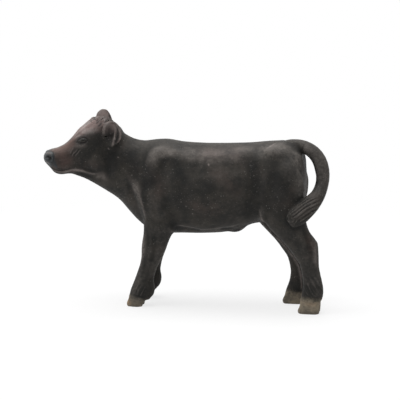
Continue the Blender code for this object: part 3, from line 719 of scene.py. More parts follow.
# Folds and bones of the head
HEAD_STROKES = mirrored("head", [
    (-0.18, 1.00, [(75, 141), (82, 139), (90, 139.4)]),
    (0.10, 0.80, [(76, 134.6), (84, 131.4), (91, 132)]),
    (0.30, 0.56, [(80.2, 140.8), (82.6, 139.9), (85, 140)]),
    (0.05, 0.25, [(75.6, 141.6), (77.4, 138.9), (80.2, 136.9), (83.8, 136.4), (87.2, 137.7), (90.2, 141)]),
    (-0.05, 0.20, [(77, 136.6), (80.4, 134.9), (84.4, 134.5), (88.4, 136)]),
    (-0.15, 0.15, [(77.6, 141), (79.2, 138.9), (82.4, 137.9), (85.6, 138.3), (88, 140)]),
    (0.05, 0.26, [(76.6, 143.5), (79.8, 144.6), (83.6, 144.5), (87.4, 142.9)]),
    (-0.20, 0.15, [(75.4, 142.3), (78.2, 142.3), (81.4, 142.9), (84.8, 142.4), (88, 140.6)]),
    (-0.04, 0.22, [(77.4, 146.2), (81, 147), (85.4, 146.2)]),
    (0.05, 0.15, [(81, 149.5), (78.5, 152), (77, 154), (75, 156)]),
    (0.05, 0.15, [(77.5, 149), (75.5, 151.8), (73.4, 153.4), (72, 157)]),
    (0.04, 0.15, [(74, 147.5), (71.5, 150.5), (70, 154)]),
    (-0.05, 0.15, [(79.4, 149), (77, 151.9), (75.2, 153.7), (73.4, 156.4)]),
    (-0.04, 0.15, [(75.8, 148.2), (73.4, 151.2), (71.6, 155)]),
    (-0.52, 0.42, [(46.8, 157), (48.4, 156.8), (50, 158), (50.2, 159.6)]),
    (0.14, 0.30, [(46, 153.6), (48.6, 153), (51, 154.4), (52.3, 157.4), (51.8, 161)]),
    (0.12, 0.34, [(46.2, 161.6), (48.6, 162.6), (50.6, 162)]),
    (-0.16, 0.22, [(50.4, 150), (53, 153), (54, 157), (53.4, 161), (51.4, 164.4)]),
    (-0.14, 0.19, [(50.6, 166), (53.4, 168.6), (57.4, 170.4), (62, 170.4), (66.6, 169.5), (71.4, 167.6)]),
    (0.12, 0.24, [(52.6, 169.4), (57, 171.6), (62, 171.9), (67, 171), (72, 169.8)]),
    (0.12, 0.60, [(57, 165.4), (62, 166.6), (68, 165.6)]),
    (0.14, 0.38, [(70, 170), (76, 169.6), (82, 170.7), (88, 172.8), (94, 173.9), (100, 173)]),
    (-0.12, 0.55, [(74, 172.4), (81, 173.6), (88, 175.8), (94, 177)]),
    (-0.10, 0.40, [(80, 167.8), (88, 169.4), (96, 170.4)]),
    (-0.22, 1.00, [(105, 157), (108, 166), (107.5, 177)]),
    (0.14, 0.50, [(97, 177.5), (101, 176), (104, 177.5)]),
    (0.14, 0.80, [(80, 132), (86, 127), (92, 123)]),
    (-0.24, 1.30, [(99, 116.4), (95, 118), (91, 120.6)]),
    (-0.05, 0.28, [(61, 157), (65.2, 158.4), (68, 156)]),
    (-0.04, 0.26, [(59, 161.6), (63, 162), (67.6, 160.2)]),
])

# The ear's rim and the ridge inside it
EAR_STROKES = mirrored("head", [
    (0.10, 0.22, [(104.2, 130), (105.6, 125.4), (109.6, 122), (113.6, 122), (117, 124.4)]),
    (0.05, 0.20, [(107.6, 128), (107.4, 134), (108, 140)]),
])

# Hair of the tail's tuft, strand by strand
TUFT_STROKES = unmirrored([
    (-0.09, 0.17, [(314, 196.6), (306, 200.6), (299, 205.4), (292.6, 210.6), (288.4, 214.6)]),
    (-0.09, 0.17, [(318.6, 197.6), (311, 200.8), (303, 205.8), (296.6, 211), (290.8, 215)]),
    (-0.12, 0.19, [(320.6, 200), (313.6, 203.4), (306, 207.2), (300, 211.6), (294, 216.4), (291, 217.4)]),
    (-0.09, 0.17, [(321, 203), (314, 206.8), (307.4, 210.4), (301.4, 215), (296.6, 219)]),
    (-0.10, 0.19, [(320.4, 206.6), (313.6, 210.4), (306.4, 215.2), (300.4, 219.6), (296.6, 221.4)]),
    (-0.08, 0.17, [(319, 210.6), (312.6, 214.6), (306.4, 219), (301, 222.4)]),
    (0.09, 0.20, [(316.4, 197.2), (308.4, 200.8), (301, 205.6), (294.6, 210.8), (289.6, 214.8)]),
    (0.07, 0.20, [(319.6, 198.8), (312.4, 202.2), (304.4, 206.6), (298.4, 211.4), (292.6, 215.8)]),
    (0.09, 0.20, [(320.8, 201.6), (313.8, 205.2), (306.6, 208.8), (300.8, 213.4), (295.4, 217.8)]),
    (0.07, 0.20, [(320.6, 204.8), (313.8, 208.6), (307, 212.8), (301, 217.4)]),
    (0.09, 0.20, [(319.6, 208.8), (313, 212.6), (306.4, 217.2), (300.6, 221)]),
    (0.16, 0.24, [(291.6, 212.8), (288, 215.6), (287.2, 219), (289.2, 221.8), (292.8, 222), (294, 219.6)]),
    (-0.12, 0.19, [(290.6, 216.6), (290, 218.8), (291.6, 220)]),
    (0.10, 0.22, [(297.6, 220), (294.8, 222.8), (292.2, 224)]),
])

# Bones, tendons and fetlock hair of the legs
LEG_STROKES = mirrored("hind", [
    (0.18, 0.45, [(270, 231.6), (278, 239), (286, 248), (292.6, 257), (298, 266), (300.6, 276),
                  (301.4, 288)]),
    (-0.20, 0.90, [(304, 228), (307, 240), (309.6, 251)]),
    (0.16, 0.75, [(312.6, 234), (314.6, 243), (314.4, 253), (314.6, 264)]),
    (0.06, 0.17, [(304, 286), (305.6, 291), (309, 296.4)]),
    (0.07, 0.20, [(307, 282), (309.6, 288.4), (313, 294.6), (317, 297.4)]),
    (0.06, 0.17, [(309.4, 277), (313.6, 284), (317.4, 291), (321, 296)]),
    (0.07, 0.20, [(313.4, 275), (317.2, 281.4), (321.8, 289), (323.4, 295)]),
    (-0.03, 0.18, [(305.4, 283.6), (308.2, 290.4), (312, 296)]),
    (-0.04, 0.17, [(309.6, 282), (312.6, 287.4), (317.4, 294)]),
    (-0.03, 0.18, [(311.4, 276.4), (316, 283.4), (319.6, 290)]),
]) + mirrored("fore", [
    (0.18, 0.80, [(145, 230), (145, 242), (144, 254), (141, 266), (138, 276)]),
    (-0.16, 0.90, [(154, 236), (153.4, 250), (151, 263)]),
    (0.06, 0.17, [(139.6, 283), (136.4, 288), (133.6, 294.6)]),
    (0.07, 0.20, [(142, 286), (138.4, 290.6), (137, 296)]),
    (0.06, 0.17, [(145.6, 286), (142.8, 291), (140.4, 296.6)]),
    (0.05, 0.17, [(135.4, 284), (133.4, 289), (130.8, 293)]),
    (-0.05, 0.18, [(141, 284), (137.6, 289), (135.2, 295.6)]),
    (-0.05, 0.17, [(143.8, 287.6), (140.4, 292.6), (138.6, 296.6)]),
])

# Hoof lines round each sole's middle: height, half width, then along X, outwards and up, all in mm
HOOF_LINES = (
    (-0.05, 0.26, ((-2.9, 0.0, 3.9), (-2.3, 1.6, 3.7), (-0.6, 2.5, 3.35), (1.2, 2.5, 3.0), (2.6, 1.7, 2.7))),
    (0.06, 0.34, ((-2.9, 0.4, 3.2), (-2.3, 1.8, 3.0), (-0.6, 2.7, 2.7), (1.2, 2.6, 2.4), (2.6, 1.8, 2.1))),
    (0.16, 0.55, ((-3.4, 0.9, 0.9), (-2.4, 2.2, 0.8), (-0.4, 2.8, 0.7), (1.6, 2.6, 0.7))),
    (-0.22, 0.30, ((-3.2, 0.0, 0.6), (-3.1, 0.0, 1.8), (-2.9, 0.0, 3.2))),
)
SOLE_HEIGHT = 0.05 * MM


def sole_points(node):
    """The points of a leg that stand on the floor."""
    points = np.array([v.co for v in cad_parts[node].data.vertices])
    return points[points[:, 2] < SOLE_HEIGHT]


def hoof_lines(surface):
    """The coronet, the wall's swell and the cleft of each hoof, found on the skin."""
    lines = []
    for node in LEG_NODES:
        middle = Vector(sole_points(node).mean(axis=0))
        for height, half_width, places in HOOF_LINES:
            for outwards in (-1, 1):
                line = [surface.tree.find_nearest(middle + Vector((x, outwards * y, z)) * MM)[0]
                        for x, y, z in places]
                drawn_twice = all(y == 0 for x, y, z in places)
                lines.append((height / 2 if drawn_twice else height, half_width, line))
    return lines


def face_corners(mesh):
    """The corners of all faces, one face after the other, and where each face's corners start."""
    corners = np.empty(len(mesh.loops), dtype=np.int64)
    mesh.loops.foreach_get("vertex_index", corners)
    starts = np.empty(len(mesh.polygons), dtype=np.int64)
    mesh.polygons.foreach_get("loop_start", starts)
    return corners, starts


def face_means(values, corners, starts):
    """The mean over each face of values at its corners."""
    counts = np.diff(np.append(starts, len(corners)))
    return (np.add.reduceat(values[corners], starts, axis=0).T / counts).T


def nearness(points, node, other):
    """How much nearer a node's surface is than another's, in metres, for each point."""
    own, others = (tree_of(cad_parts[name].data) for name in (node, other))
    return np.array([others.find_nearest(p)[3] - own.find_nearest(p)[3] for p in points])


LABEL_MARGIN = 1.0 * MM
LABEL_PASSES = 12


def node_of_each_face(surface):
    """Which node's place each face of the skin takes, as an index into ALL_NODES."""
    points = surface.points
    corners, starts = face_corners(surface.mesh)
    middles = face_means(points, corners, starts)
    labels = np.full(len(starts), ALL_NODES.index("torso"))
    beyond = (middles - np.array(neck_middle)) @ -np.array(neck_out) > 0
    labels[beyond & (middles[:, 2] > leg_joint)] = ALL_NODES.index("head")
    for node in LEG_NODES:
        low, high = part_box(node)
        inside = (middles[:, 2] < leg_joint) & (np.abs(middles[:, 0] - (low.x + high.x) / 2) < high.x - low.x)
        left = middles[:, 1] < body_middle.y
        labels[inside & (left if node.startswith("left") else ~left)] = ALL_NODES.index(node)
    for node, other in (("left_ear", "head"), ("right_ear", "head"), ("tail", "torso")):
        low, high = (np.array(c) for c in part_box(node))
        near = np.all((points > low - LABEL_MARGIN) & (points < high + LABEL_MARGIN), axis=1)
        lead = np.full(len(points), -LABEL_MARGIN)
        lead[near] = nearness(points[near], node, other)
        lead = lead[:, None]
        for _ in range(LABEL_PASSES):
            lead = (lead + neighbour_means(lead, surface.edges, surface.counts)) / 2
        labels[face_means(lead[:, 0], corners, starts) > 0] = ALL_NODES.index(node)
    return labels


CAP_SINK = 0.4 * MM


def close_openings(mesh, inward):
    """Closes the openings where a piece was parted, each with a cone that sinks into the piece."""
    with edited(mesh) as bm:
        openings = [edge for edge in bm.edges if edge.is_boundary]
        caps = bmesh.ops.holes_fill(bm, edges=openings, sides=0)["faces"]
        for hub in bmesh.ops.poke(bm, faces=caps)["verts"]:
            hub.co += (inward - hub.co).normalized() * CAP_SINK


def part_skin(surface, masks):
    """Parts the skin into one closed piece for each node, shaded as if it were still whole."""
    corners, starts = face_corners(surface.mesh)
    faces = np.split(corners, starts[1:])
    labels = node_of_each_face(surface)
    local = np.zeros(len(surface.points), dtype=np.int64)
    pieces = {}
    for index, node in enumerate(ALL_NODES):
        chosen = [faces[number] for number in np.nonzero(labels == index)[0]]
        used = np.unique(np.concatenate(chosen))
        local[used] = np.arange(len(used))
        mesh = bpy.data.meshes.new(node + "_painted")
        mesh.from_pydata(surface.points[used], [], [local[face].tolist() for face in chosen])
        close_openings(mesh, Vector(surface.points[used].mean(axis=0)))
        mesh.shade_smooth()
        normals = np.zeros((len(mesh.vertices), 3))
        mesh.vertex_normals.foreach_get("vector", normals.ravel())
        normals[:len(used)] = surface.normals[used]
        normals[len(used):] = (0, 0, 1)
        mesh.normals_split_custom_set_from_vertices(normals)
        for name, values in masks.items():
            attribute = mesh.attributes.new(name, "FLOAT", "POINT")
            padded = np.zeros(len(mesh.vertices), dtype=np.float32)
            padded[:len(used)] = values[used]
            attribute.data.foreach_set("value", padded)
        pieces[node] = new_object(node + "_painted", mesh)
    return pieces


# Paint zones, among them painted shade and painted highlights: strength, half width in mm, pixels
ROSY_STROKES = mirrored("head", [
    (0.65, 2.3, [(108, 113), (103, 115.6), (99, 118)]),
    (1.0, 2.3, [(96, 119.4), (91, 122.4), (86, 126), (80, 130), (75, 134)]),
    (0.70, 1.4, [(80, 132), (74, 138), (69, 142.4), (63, 146.6), (57, 148.8), (51, 150.4)]),
    (0.80, 1.7, [(97, 123), (92, 126), (85, 130.4), (79, 134.6)]),
    (0.40, 1.3, [(75, 141), (71, 145.6), (66, 148.6), (58, 151)]),
    (0.05, 1.8, [(58, 160), (64, 160), (70, 157), (74, 154)]),
    # A rosy band along the lower lip and the jaw's edge, which also lightens it as a painted highlight
    (0.30, 0.45, [(60, 172.6), (66, 172), (72, 170.6), (78, 170.4), (84, 171.6)]),
    (0.40, 0.9, [(119.6, 127), (120.4, 134), (119, 142)]),
    (0.45, 1.2, [(91, 131), (97, 128.4), (102, 125.4)]),
]) + unmirrored([
    (0.45, 1.7, [(100.6, 110), (103.6, 111), (106.6, 116)]),
])
NOSE_STROKES = mirrored("head", [
    (1.2, 1.3, [(46.6, 152.4), (46, 156), (46.8, 160), (48.8, 163.6)]),
    (1.2, 0.55, [(50.4, 151.6), (52.2, 155), (52.6, 158.4), (51.4, 162.4)]),
    (0.75, 0.55, [(53.8, 161), (54.8, 164.4), (56.6, 167.6)]),
])
# Dark zones. On the head they are mostly painted shade: round the eye and temple, in the ear's cup, behind
# and under the jaw; the nostril and upper lip are painted dark, and dark marks lie among the poll's curls.
DARK_AND_SHADE_STROKES = mirrored("head", [
    (1.0, 0.85, [(76, 141.6), (79, 139.8), (84, 138.8), (88.6, 140)]),
    (0.9, 0.40, [(77.4, 138.6), (77.4, 140.4), (78.6, 142)]),
    (1.0, 0.65, [(77.4, 139), (80, 137.2), (84, 136.6), (88, 138)]),
    (0.9, 0.50, [(77, 142.6), (80.4, 143.6), (84.6, 143.2)]),
    (0.7, 0.8, [(84, 136.4), (91, 136), (97, 135), (103, 135)]),
    (0.45, 1.6, [(92, 139), (99, 139), (103, 143)]),
    (0.35, 0.8, [(107, 127), (106.6, 133), (107.4, 140), (110, 145.6)]),
    (0.5, 0.4, [(111.4, 126), (112, 133), (111, 141)]),
    (0.8, 0.9, [(109.4, 125.6), (109, 131), (108, 137), (109.4, 144)]),
    (0.6, 1.6, [(109, 151), (112, 159), (112, 169)]),
    (1.0, 0.42, [(46.8, 157.2), (48.4, 157), (50, 158.2), (50.2, 159.6)]),
    (0.35, 0.5, [(54, 159), (55.4, 163), (58, 168.2), (64, 169.4)]),
    (0.5, 0.6, [(76, 172.6), (83, 174.4), (90, 176.6)]),
    (1.0, 0.24, [(93.4, 118.6), (95.6, 119.6), (97.6, 121.6)]),
    (1.0, 0.24, [(96.4, 123), (98, 121.8), (99.6, 120.4)]),
    (1.0, 0.24, [(99.8, 121), (101.6, 119.4), (103.6, 118)]),
    (1.0, 0.24, [(100.8, 128.2), (102.6, 127.2), (104.2, 125.8)]),
    (1.0, 0.24, [(98.4, 126.2), (100, 124.8), (101.6, 123)]),
    (1.0, 0.24, [(103.8, 122.8), (106, 120.8), (108.2, 118.6)]),
]) + unmirrored([
    # Painted shade along the near ear's rear edge, on the tail's inner side, under the belly's lower edge and
    # in the groove at the tail's root
    (0.9, 0.28, [(116.8, 125), (117.6, 131), (117, 138), (115.2, 145)]),
    (0.65, 0.9, [(307, 151), (312.4, 160), (315.6, 172), (315, 184), (311, 194)]),
    (0.8, 0.4, [(168, 232), (178, 231.6), (190, 230.6)]),
    (0.8, 0.4, [(227, 229.8), (234, 230.8), (241, 229)]),
    (0.6, 0.9, [(289, 143.4), (294, 147), (299, 152), (302, 156)]),
]) + mirrored("body", [
    # Painted shade below the shoulder blade and in the hollows of shoulder, flank and thigh and at the neck's
    # base
    (0.8, 1.1, [(160, 163.4), (164, 160.6), (170, 159.6), (176, 162), (184, 166.6)]),
    (0.6, 2.4, [(172, 168), (180, 172), (184, 182), (184, 194), (180, 208)]),
    (0.6, 2.4, [(250, 162), (255, 172), (256, 186), (262, 200)]),
    (0.8, 2.6, [(270, 170), (278, 182), (286, 196)]),
    (0.6, 2.8, [(262, 200), (274, 205), (286, 209)]),
    (0.9, 1.9, [(145, 167.4), (148.6, 173), (153, 180)]),
    (0.6, 2.2, [(126, 152), (132, 160), (138, 168)]),
])
# Pale zones, mostly painted highlights: along the lower lip and the jaw's lower edge, on the brow, lower lid
# and wrinkles, behind the jaw, along the near ear's ridge and rim, and on the nose above and below the
# nostril
PALE_AND_HIGHLIGHT_STROKES = mirrored("head", [
    (0.40, 0.24, [(52, 168.8), (57, 171.4), (62, 171.8), (67, 171), (72, 169.8), (78, 170)]),
    (0.34, 0.28, [(70, 170), (76, 169.6), (82, 170.7), (88, 172.8), (94, 173.9), (99, 173.4)]),
    (0.50, 0.80, [(75, 134), (77.6, 131)]),
    (0.32, 0.9, [(98, 176), (102, 175.4), (105, 178)]),
    (0.95, 0.34, [(113.8, 123.6), (114.8, 130), (114.4, 137), (113.2, 143), (112.2, 147)]),
    (0.65, 0.22, [(104.2, 134), (104.4, 129), (106, 124.8), (109.6, 121.8), (114, 121.8)]),
    (0.34, 0.55, [(77, 145.4), (80.6, 146), (84.4, 145.4)]),
    (0.80, 0.34, [(75.6, 137.6), (78, 135.9), (80, 135.3)]),
    (0.22, 0.14, [(81, 149.5), (78.5, 152), (77, 154), (75, 156)]),
    (0.18, 0.14, [(77.5, 149), (75.5, 151.8), (73.4, 153.4), (72, 157)]),
    (0.15, 0.14, [(74, 147.5), (71.5, 150.5), (70, 154)]),
    (0.50, 0.30, [(46, 153.6), (48.6, 153), (50.6, 154)]),
    (0.45, 0.30, [(46.4, 162), (48.6, 162.8)]),
]) + unmirrored([
    # Painted highlights on the far ear's rim, the hip bone and the belly's lower edge, where the floor's
    # light catches it; the small spots are real pale specks
    (0.32, 1.6, [(101, 111), (104, 112), (106, 116)]),
    (0.90, 0.13, [(108.2, 148.2), (109, 149.4)]),
    (0.90, 0.10, [(117.8, 157), (118.6, 157.6)]),
    (0.75, 0.30, [(269, 147.2), (272.4, 145), (275.6, 143.2)]),
    (0.32, 0.30, [(173, 229.4), (180, 225.4), (190, 227.2), (201.5, 229.6), (218.5, 228.2),
                  (230, 226.8), (238.5, 224)]),
    (1.0, 0.22, [(208.4, 164.1), (208.8, 165)]),
]) + mirrored("body", [
    # Painted highlights along the shoulder's front edge, the foreleg's front, the front of thigh and hock and
    # the shank's back; pale paint on the fore toes
    (0.30, 0.28, [(137, 189), (139.4, 196), (141.8, 204), (144, 213), (145.6, 221)]),
    (0.16, 1.2, [(131, 180), (134, 186), (138, 192)]),
]) + mirrored("fore", [
    (0.40, 0.55, [(143, 230), (143, 242), (142, 254), (139.6, 264)]),
    (0.50, 0.70, [(129, 300.4), (135, 301), (141, 301)]),
]) + mirrored("hind", [
    (0.60, 0.22, [(259, 208), (262, 220), (270, 231.2), (278, 238.6), (286, 247.6), (294, 258.2)]),
    (0.60, 0.22, [(286, 247.6), (294, 258.2), (299, 267.6), (301, 278), (301.8, 292)]),
    (0.30, 0.45, [(315.4, 246), (315.6, 256), (316.4, 268)]),
])
# Pale wear and dry brush on the top coat, laid where light from above and in front falls, so partly painted
# highlight: along the back, shoulder blade, rump and the tail's outer rim and tuft; paler hair at the
# fetlocks
WEAR_AND_HIGHLIGHT_STROKES = mirrored("body", [
    (0.90, 1.6, [(150, 158), (153, 153.6), (158, 150.6), (166, 150), (174, 151)]),
    (1.00, 1.0, [(150, 160.4), (155, 158.4), (160, 155.6), (167, 153.6), (174, 154)]),
    (0.70, 2.2, [(180, 151), (193, 153), (208, 154), (221, 152.6), (240, 150), (262, 150)]),
    (0.60, 1.2, [(181, 156), (193, 158.6), (208, 161), (221, 160), (234, 158), (244, 156)]),
    (0.26, 2.4, [(205, 167), (218, 171), (230, 172)]),
    (1.00, 2.3, [(256, 148.6), (268, 148.6), (276, 147.6), (286, 149.6), (295, 154)]),
    (1.00, 1.9, [(284, 151), (292, 155), (297, 161), (300, 168)]),
    (0.35, 1.8, [(280, 158), (288, 162), (294, 170)]),
    (1.0, 1.4, [(298.4, 164), (300, 176), (301, 190)]),
    (0.30, 2.2, [(120, 142), (130, 146), (140, 150)]),
]) + unmirrored([
    (0.45, 0.9, [(310, 146.4), (319, 153), (325, 166), (326.4, 180), (322, 196)]),
    (0.50, 1.4, [(315, 200), (305, 207), (295, 215)]),
]) + mirrored("fore", [
    (0.70, 1.1, [(140, 278), (136, 287), (133, 294)]),
]) + mirrored("hind", [
    (0.30, 1.2, [(314, 279), (316.4, 289), (319, 297)]),
])
RED_STROKES = mirrored("body", [
    (0.7, 2.2, [(202, 152), (216, 154), (232, 152), (240, 156)]),
    (0.35, 2.2, [(214, 172), (226, 180), (236, 190)]),
    (0.35, 2.0, [(150, 176), (158, 184), (156, 200)]),
    (0.6, 1.2, [(303, 164), (305, 180), (306, 192)]),
    (0.25, 2.0, [(196, 206), (206, 212), (216, 210)]),
]) + mirrored("hind", [
    (0.7, 1.2, [(309, 238), (312, 246), (311, 256)]),
]) + mirrored("head", [
    (1.2, 2.0, [(57, 154), (66, 158), (60, 166)]),
    (1.2, 1.5, [(53, 151.6), (60, 149.6), (68, 146), (74, 141)]),
    (0.4, 1.4, [(78, 163), (88, 165), (98, 166)]),
])
# Heights in mm at which each hoof's horn ends, above its toe and above its heel
HORN_HEIGHTS = {"left_foreleg": (4.0, 2.8), "right_foreleg": (4.0, 2.8), "left_hindleg": (5.3, 4.9),
                "right_hindleg": (4.4, 4.0)}
HORN_FADE = 2.1 * MM
TOE_STROKES = mirrored("fore", [
    (1.0, 0.7, [(128.2, 297.6), (127.6, 300), (128.6, 303)]),
]) + mirrored("hind", [
    (0.35, 0.6, [(300, 303), (310, 304.6), (318, 304.4)]),
])
EYE_STROKES = mirrored("head", [(1.0, 0.50, [(79.8, 141), (82.6, 140), (85.6, 140.2)])])
PUPIL_STROKES = mirrored("head", [(1.0, 0.30, [(83, 140.2)])])
# The middle and width of a painted edge, as coverage by its strokes
NOSE_EDGE = (0.45, 0.5)
EYE_EDGE = (0.5, 0.3)
# Ridges and hollows: how strongly they show, and how fine and how broad the forms are
RIDGE_SCALE = 18.0
FINE_STEPS = 3
BROAD_STEPS = 24
# How steeply skin must face upward to be painted paler, as light from above: where it starts and where it is
# full
UPWARD_LOW = 0.25
UPWARD_HIGH = 0.95


def sharp(mask, middle, width):
    """A soft mask given a narrower edge."""
    return np.clip((mask - middle) / width + 0.5, 0, 1)


def hoof_mask(surface):
    """The horn of the hooves, whose upper border falls from toe to heel."""
    x, y, z = surface.points.T
    mask = np.zeros(len(x))
    for node in LEG_NODES:
        low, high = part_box(node)
        inside = (x > low.x - MM) & (x < high.x + MM) & (y > low.y - MM) & (y < high.y + MM)
        toe, heel = sole_points(node)[:, 0].min(), sole_points(node)[:, 0].max()
        border = np.interp(x, (toe, heel), HORN_HEIGHTS[node]) * MM
        mask = np.where(inside, np.maximum(mask, np.clip((border - z) / HORN_FADE, 0, 1)), mask)
    return mask


def shade_masks(surface):
    """Where the brush leaves its paint: ridges, hollows, the zones of the face and hooves, and the pale and
    dark zones and upward faces that also carry painted highlight and painted shade.
    """
    fine = surface.points
    for _ in range(FINE_STEPS):
        fine = (fine + neighbour_means(fine, surface.edges, surface.counts)) / 2
    broad = fine
    for _ in range(BROAD_STEPS):
        broad = (broad + neighbour_means(broad, surface.edges, surface.counts)) / 2
    relief = np.sum((fine - broad) * surface.normals, axis=1) / MM * RIDGE_SCALE
    upward = np.clip((surface.normals[:, 2] - UPWARD_LOW) / (UPWARD_HIGH - UPWARD_LOW), 0, 1)
    return {
        "ridge": np.clip(relief, 0, 1),
        "hollow": np.clip(-relief, 0, 1),
        "upward": upward,
        "wear_and_highlight": surface.soft_mask(WEAR_AND_HIGHLIGHT_STROKES),
        "red": surface.soft_mask(RED_STROKES),
        "rosy": surface.soft_mask(ROSY_STROKES),
        "nose": sharp(surface.soft_mask(NOSE_STROKES), *NOSE_EDGE),
        "pale": surface.soft_mask(PALE_AND_HIGHLIGHT_STROKES),
        "dark": surface.soft_mask(DARK_AND_SHADE_STROKES),
        "eye": sharp(surface.soft_mask(EYE_STROKES), *EYE_EDGE),
        "pupil": sharp(surface.soft_mask(PUPIL_STROKES), *EYE_EDGE),
        "hoof": hoof_mask(surface),
        "toe": surface.soft_mask(TOE_STROKES),
    }


class Nodes:
    """A tree of shader nodes, made and joined with short calls."""

    def __init__(self, tree):
        self.tree = tree

    def add(self, kind, inputs, **settings):
        """A new node whose inputs are set to values or joined to sockets."""
        node = self.tree.nodes.new(kind)
        for key, value in settings.items():
            setattr(node, key, value)
        for key, value in inputs.items():
            self.set(node.inputs[key], value)
        return node

    def set(self, socket, value):
        if isinstance(value, bpy.types.NodeSocket):
            self.tree.links.new(value, socket)
        else:
            socket.default_value = value

    def place(self):
        return self.add("ShaderNodeTexCoord", {}).outputs["Object"]

    def mask(self, name):
        return self.add("ShaderNodeAttribute", {}, attribute_name=name).outputs["Fac"]

    def noise(self, place, size, detail, roughness):
        """Noise whose blotches are about the given size."""
        inputs = {"Vector": place, "Scale": 1 / size, "Detail": detail, "Roughness": roughness}
        return self.add("ShaderNodeTexNoise", inputs).outputs["Fac"]

    def ramp(self, value, low, high, to_low=0.0, to_high=1.0, kind="SMOOTHSTEP"):
        inputs = {"Value": value, "From Min": low, "From Max": high, "To Min": to_low, "To Max": to_high}
        return self.add("ShaderNodeMapRange", inputs, interpolation_type=kind).outputs["Result"]

    def math(self, operation, first, second):
        return self.add("ShaderNodeMath", {0: first, 1: second}, operation=operation).outputs[0]

    def times(self, first, second):
        return self.math("MULTIPLY", first, second)

    def mix(self, factor, first, second):
        """Two colours mixed by a factor."""
        first, second = (value if isinstance(value, bpy.types.NodeSocket) else (*value, 1)
                         for value in (first, second))
        inputs = {"Factor": factor, MIX_FIRST: first, MIX_SECOND: second}
        return self.add("ShaderNodeMix", inputs, data_type="RGBA").outputs[MIX_RESULT]


# The places of the colour sockets on a mix node
MIX_FIRST = 6
MIX_SECOND = 7
MIX_RESULT = 2


# Paints, as linear colours
COAT_DARK = (0.0104, 0.0103, 0.0092)
COAT_BROWN = (0.0285, 0.0252, 0.0208)
COAT_RED = (0.062, 0.040, 0.035)
DRY_BRUSH = (0.105, 0.094, 0.086)
# Pale wear and dry brush, which also serve as painted highlights where light falls from above and in front
PALE_WEAR_AND_HIGHLIGHT = (0.118, 0.106, 0.096)
REDDISH_WEAR_AND_HIGHLIGHT = (0.130, 0.102, 0.094)
# Near-black: the wash in hollows, and painted shade in the dark zones
WASH_AND_SHADE = (0.006, 0.006, 0.006)
ROSE = (0.190, 0.138, 0.127)
ROSE_PALE = (0.33, 0.285, 0.272)
ROSE_RED = (0.142, 0.088, 0.073)
NOSE = (0.034, 0.038, 0.040)
# Pale paint, mostly painted highlights on lips, jaw, brow, ears, nose and leg edges
PALE_AND_HIGHLIGHT = (0.24, 0.205, 0.19)
HOOF = (0.126, 0.110, 0.085)
HOOF_PALE = (0.27, 0.225, 0.165)
TOE = (0.30, 0.21, 0.13)
IRIS = (0.022, 0.020, 0.017)
PUPIL = (0.003, 0.003, 0.003)
DUST = (0.26, 0.25, 0.23)
SPECULAR_LEVEL = 0.18
# Sizes of the noises that break up the paint, and how deep its bump is
MOTTLE_SIZE = 4.5 * MM
PATCH_SIZE = 9 * MM
BLOTCH_SIZE = 2.0 * MM
GRAIN_SIZE = 0.7 * MM
SPECK_SIZE = 0.36 * MM
HAIR_SIZE = 0.35 * MM
BUMP_DEPTH = 0.22 * MM
# How strongly each zone shows
# How much paler upward-facing skin is painted, as light from above
UPWARD_HIGHLIGHT = 0.13
# How much the reddish tint of wear and painted highlight shows where the coat is red
RED_IN_WEAR_AND_HIGHLIGHT = 0.7
# How fully the dark zones, mostly painted shade, take the near-black
DARK_AND_SHADE_STRENGTH = 0.8
HOLLOW_WASH = 0.7
NOSE_GLOSS = 0.5
GLOSS = 0.75


class Paint(Nodes):
    """The nodes of one paint, with its noises. Its hair is drawn out along each axis by a factor."""

    def __init__(self, tree, hair):
        super().__init__(tree)
        place = self.place()
        drawn = self.add("ShaderNodeVectorMath", {0: place, 1: hair}, operation="DIVIDE").outputs[0]
        self.mottle = self.noise(place, MOTTLE_SIZE, 5.0, 0.65)
        self.patches = self.noise(place, PATCH_SIZE, 2.0, 0.5)
        self.blotches = self.noise(place, BLOTCH_SIZE, 3.0, 0.6)
        self.grain = self.noise(place, GRAIN_SIZE, 4.0, 0.65)
        self.specks = self.noise(place, SPECK_SIZE, 2.0, 0.6)
        self.hairs = self.noise(drawn, HAIR_SIZE, 3.0, 0.6)

    def grained(self, name, low, high, to_low, to_high):
        """A mask broken up by the grain."""
        return self.times(self.mask(name), self.ramp(self.grain, low, high, to_low, to_high))


def coat(p):
    """A mottled dark coat, red in places, pale with wear and with painted highlights where light from above
    and in front falls, and dry brushed on its ridges.
    """
    colour = p.mix(p.ramp(p.mottle, 0.36, 0.68), COAT_DARK, COAT_BROWN)
    red = p.math("ADD", p.mask("red"), p.ramp(p.patches, 0.56, 0.80, 0.0, 0.22))
    colour = p.mix(p.times(red, p.ramp(p.mottle, 0.35, 0.65, 0.1, 0.8)), colour, COAT_RED)
    # Pale wear and dry brush, also painted highlights where light falls from above and in front
    wear_and_highlight = p.times(p.grained("wear_and_highlight", 0.3, 0.65, 0.45, 1.0), p.ramp(p.blotches, 0.35, 0.60, 0.45, 1.15))
    # Upward-facing skin is painted paler, as light from above
    wear_and_highlight = p.math("ADD", wear_and_highlight, p.times(p.mask("upward"), UPWARD_HIGHLIGHT))
    # The colour of wear and painted highlight, redder where the coat is red
    wear_and_highlight_colour = p.mix(p.times(red, RED_IN_WEAR_AND_HIGHLIGHT), PALE_WEAR_AND_HIGHLIGHT, REDDISH_WEAR_AND_HIGHLIGHT)
    colour = p.mix(p.times(wear_and_highlight, p.ramp(p.mottle, 0.32, 0.62, 0.5, 1.1)), colour, wear_and_highlight_colour)
    brushed = p.math("ADD", p.mask("ridge"), p.ramp(p.hairs, 0.58, 0.76, 0.0, 0.35))
    return p.mix(p.times(brushed, p.ramp(p.grain, 0.35, 0.62, 0.2, 0.7)), colour, DRY_BRUSH)


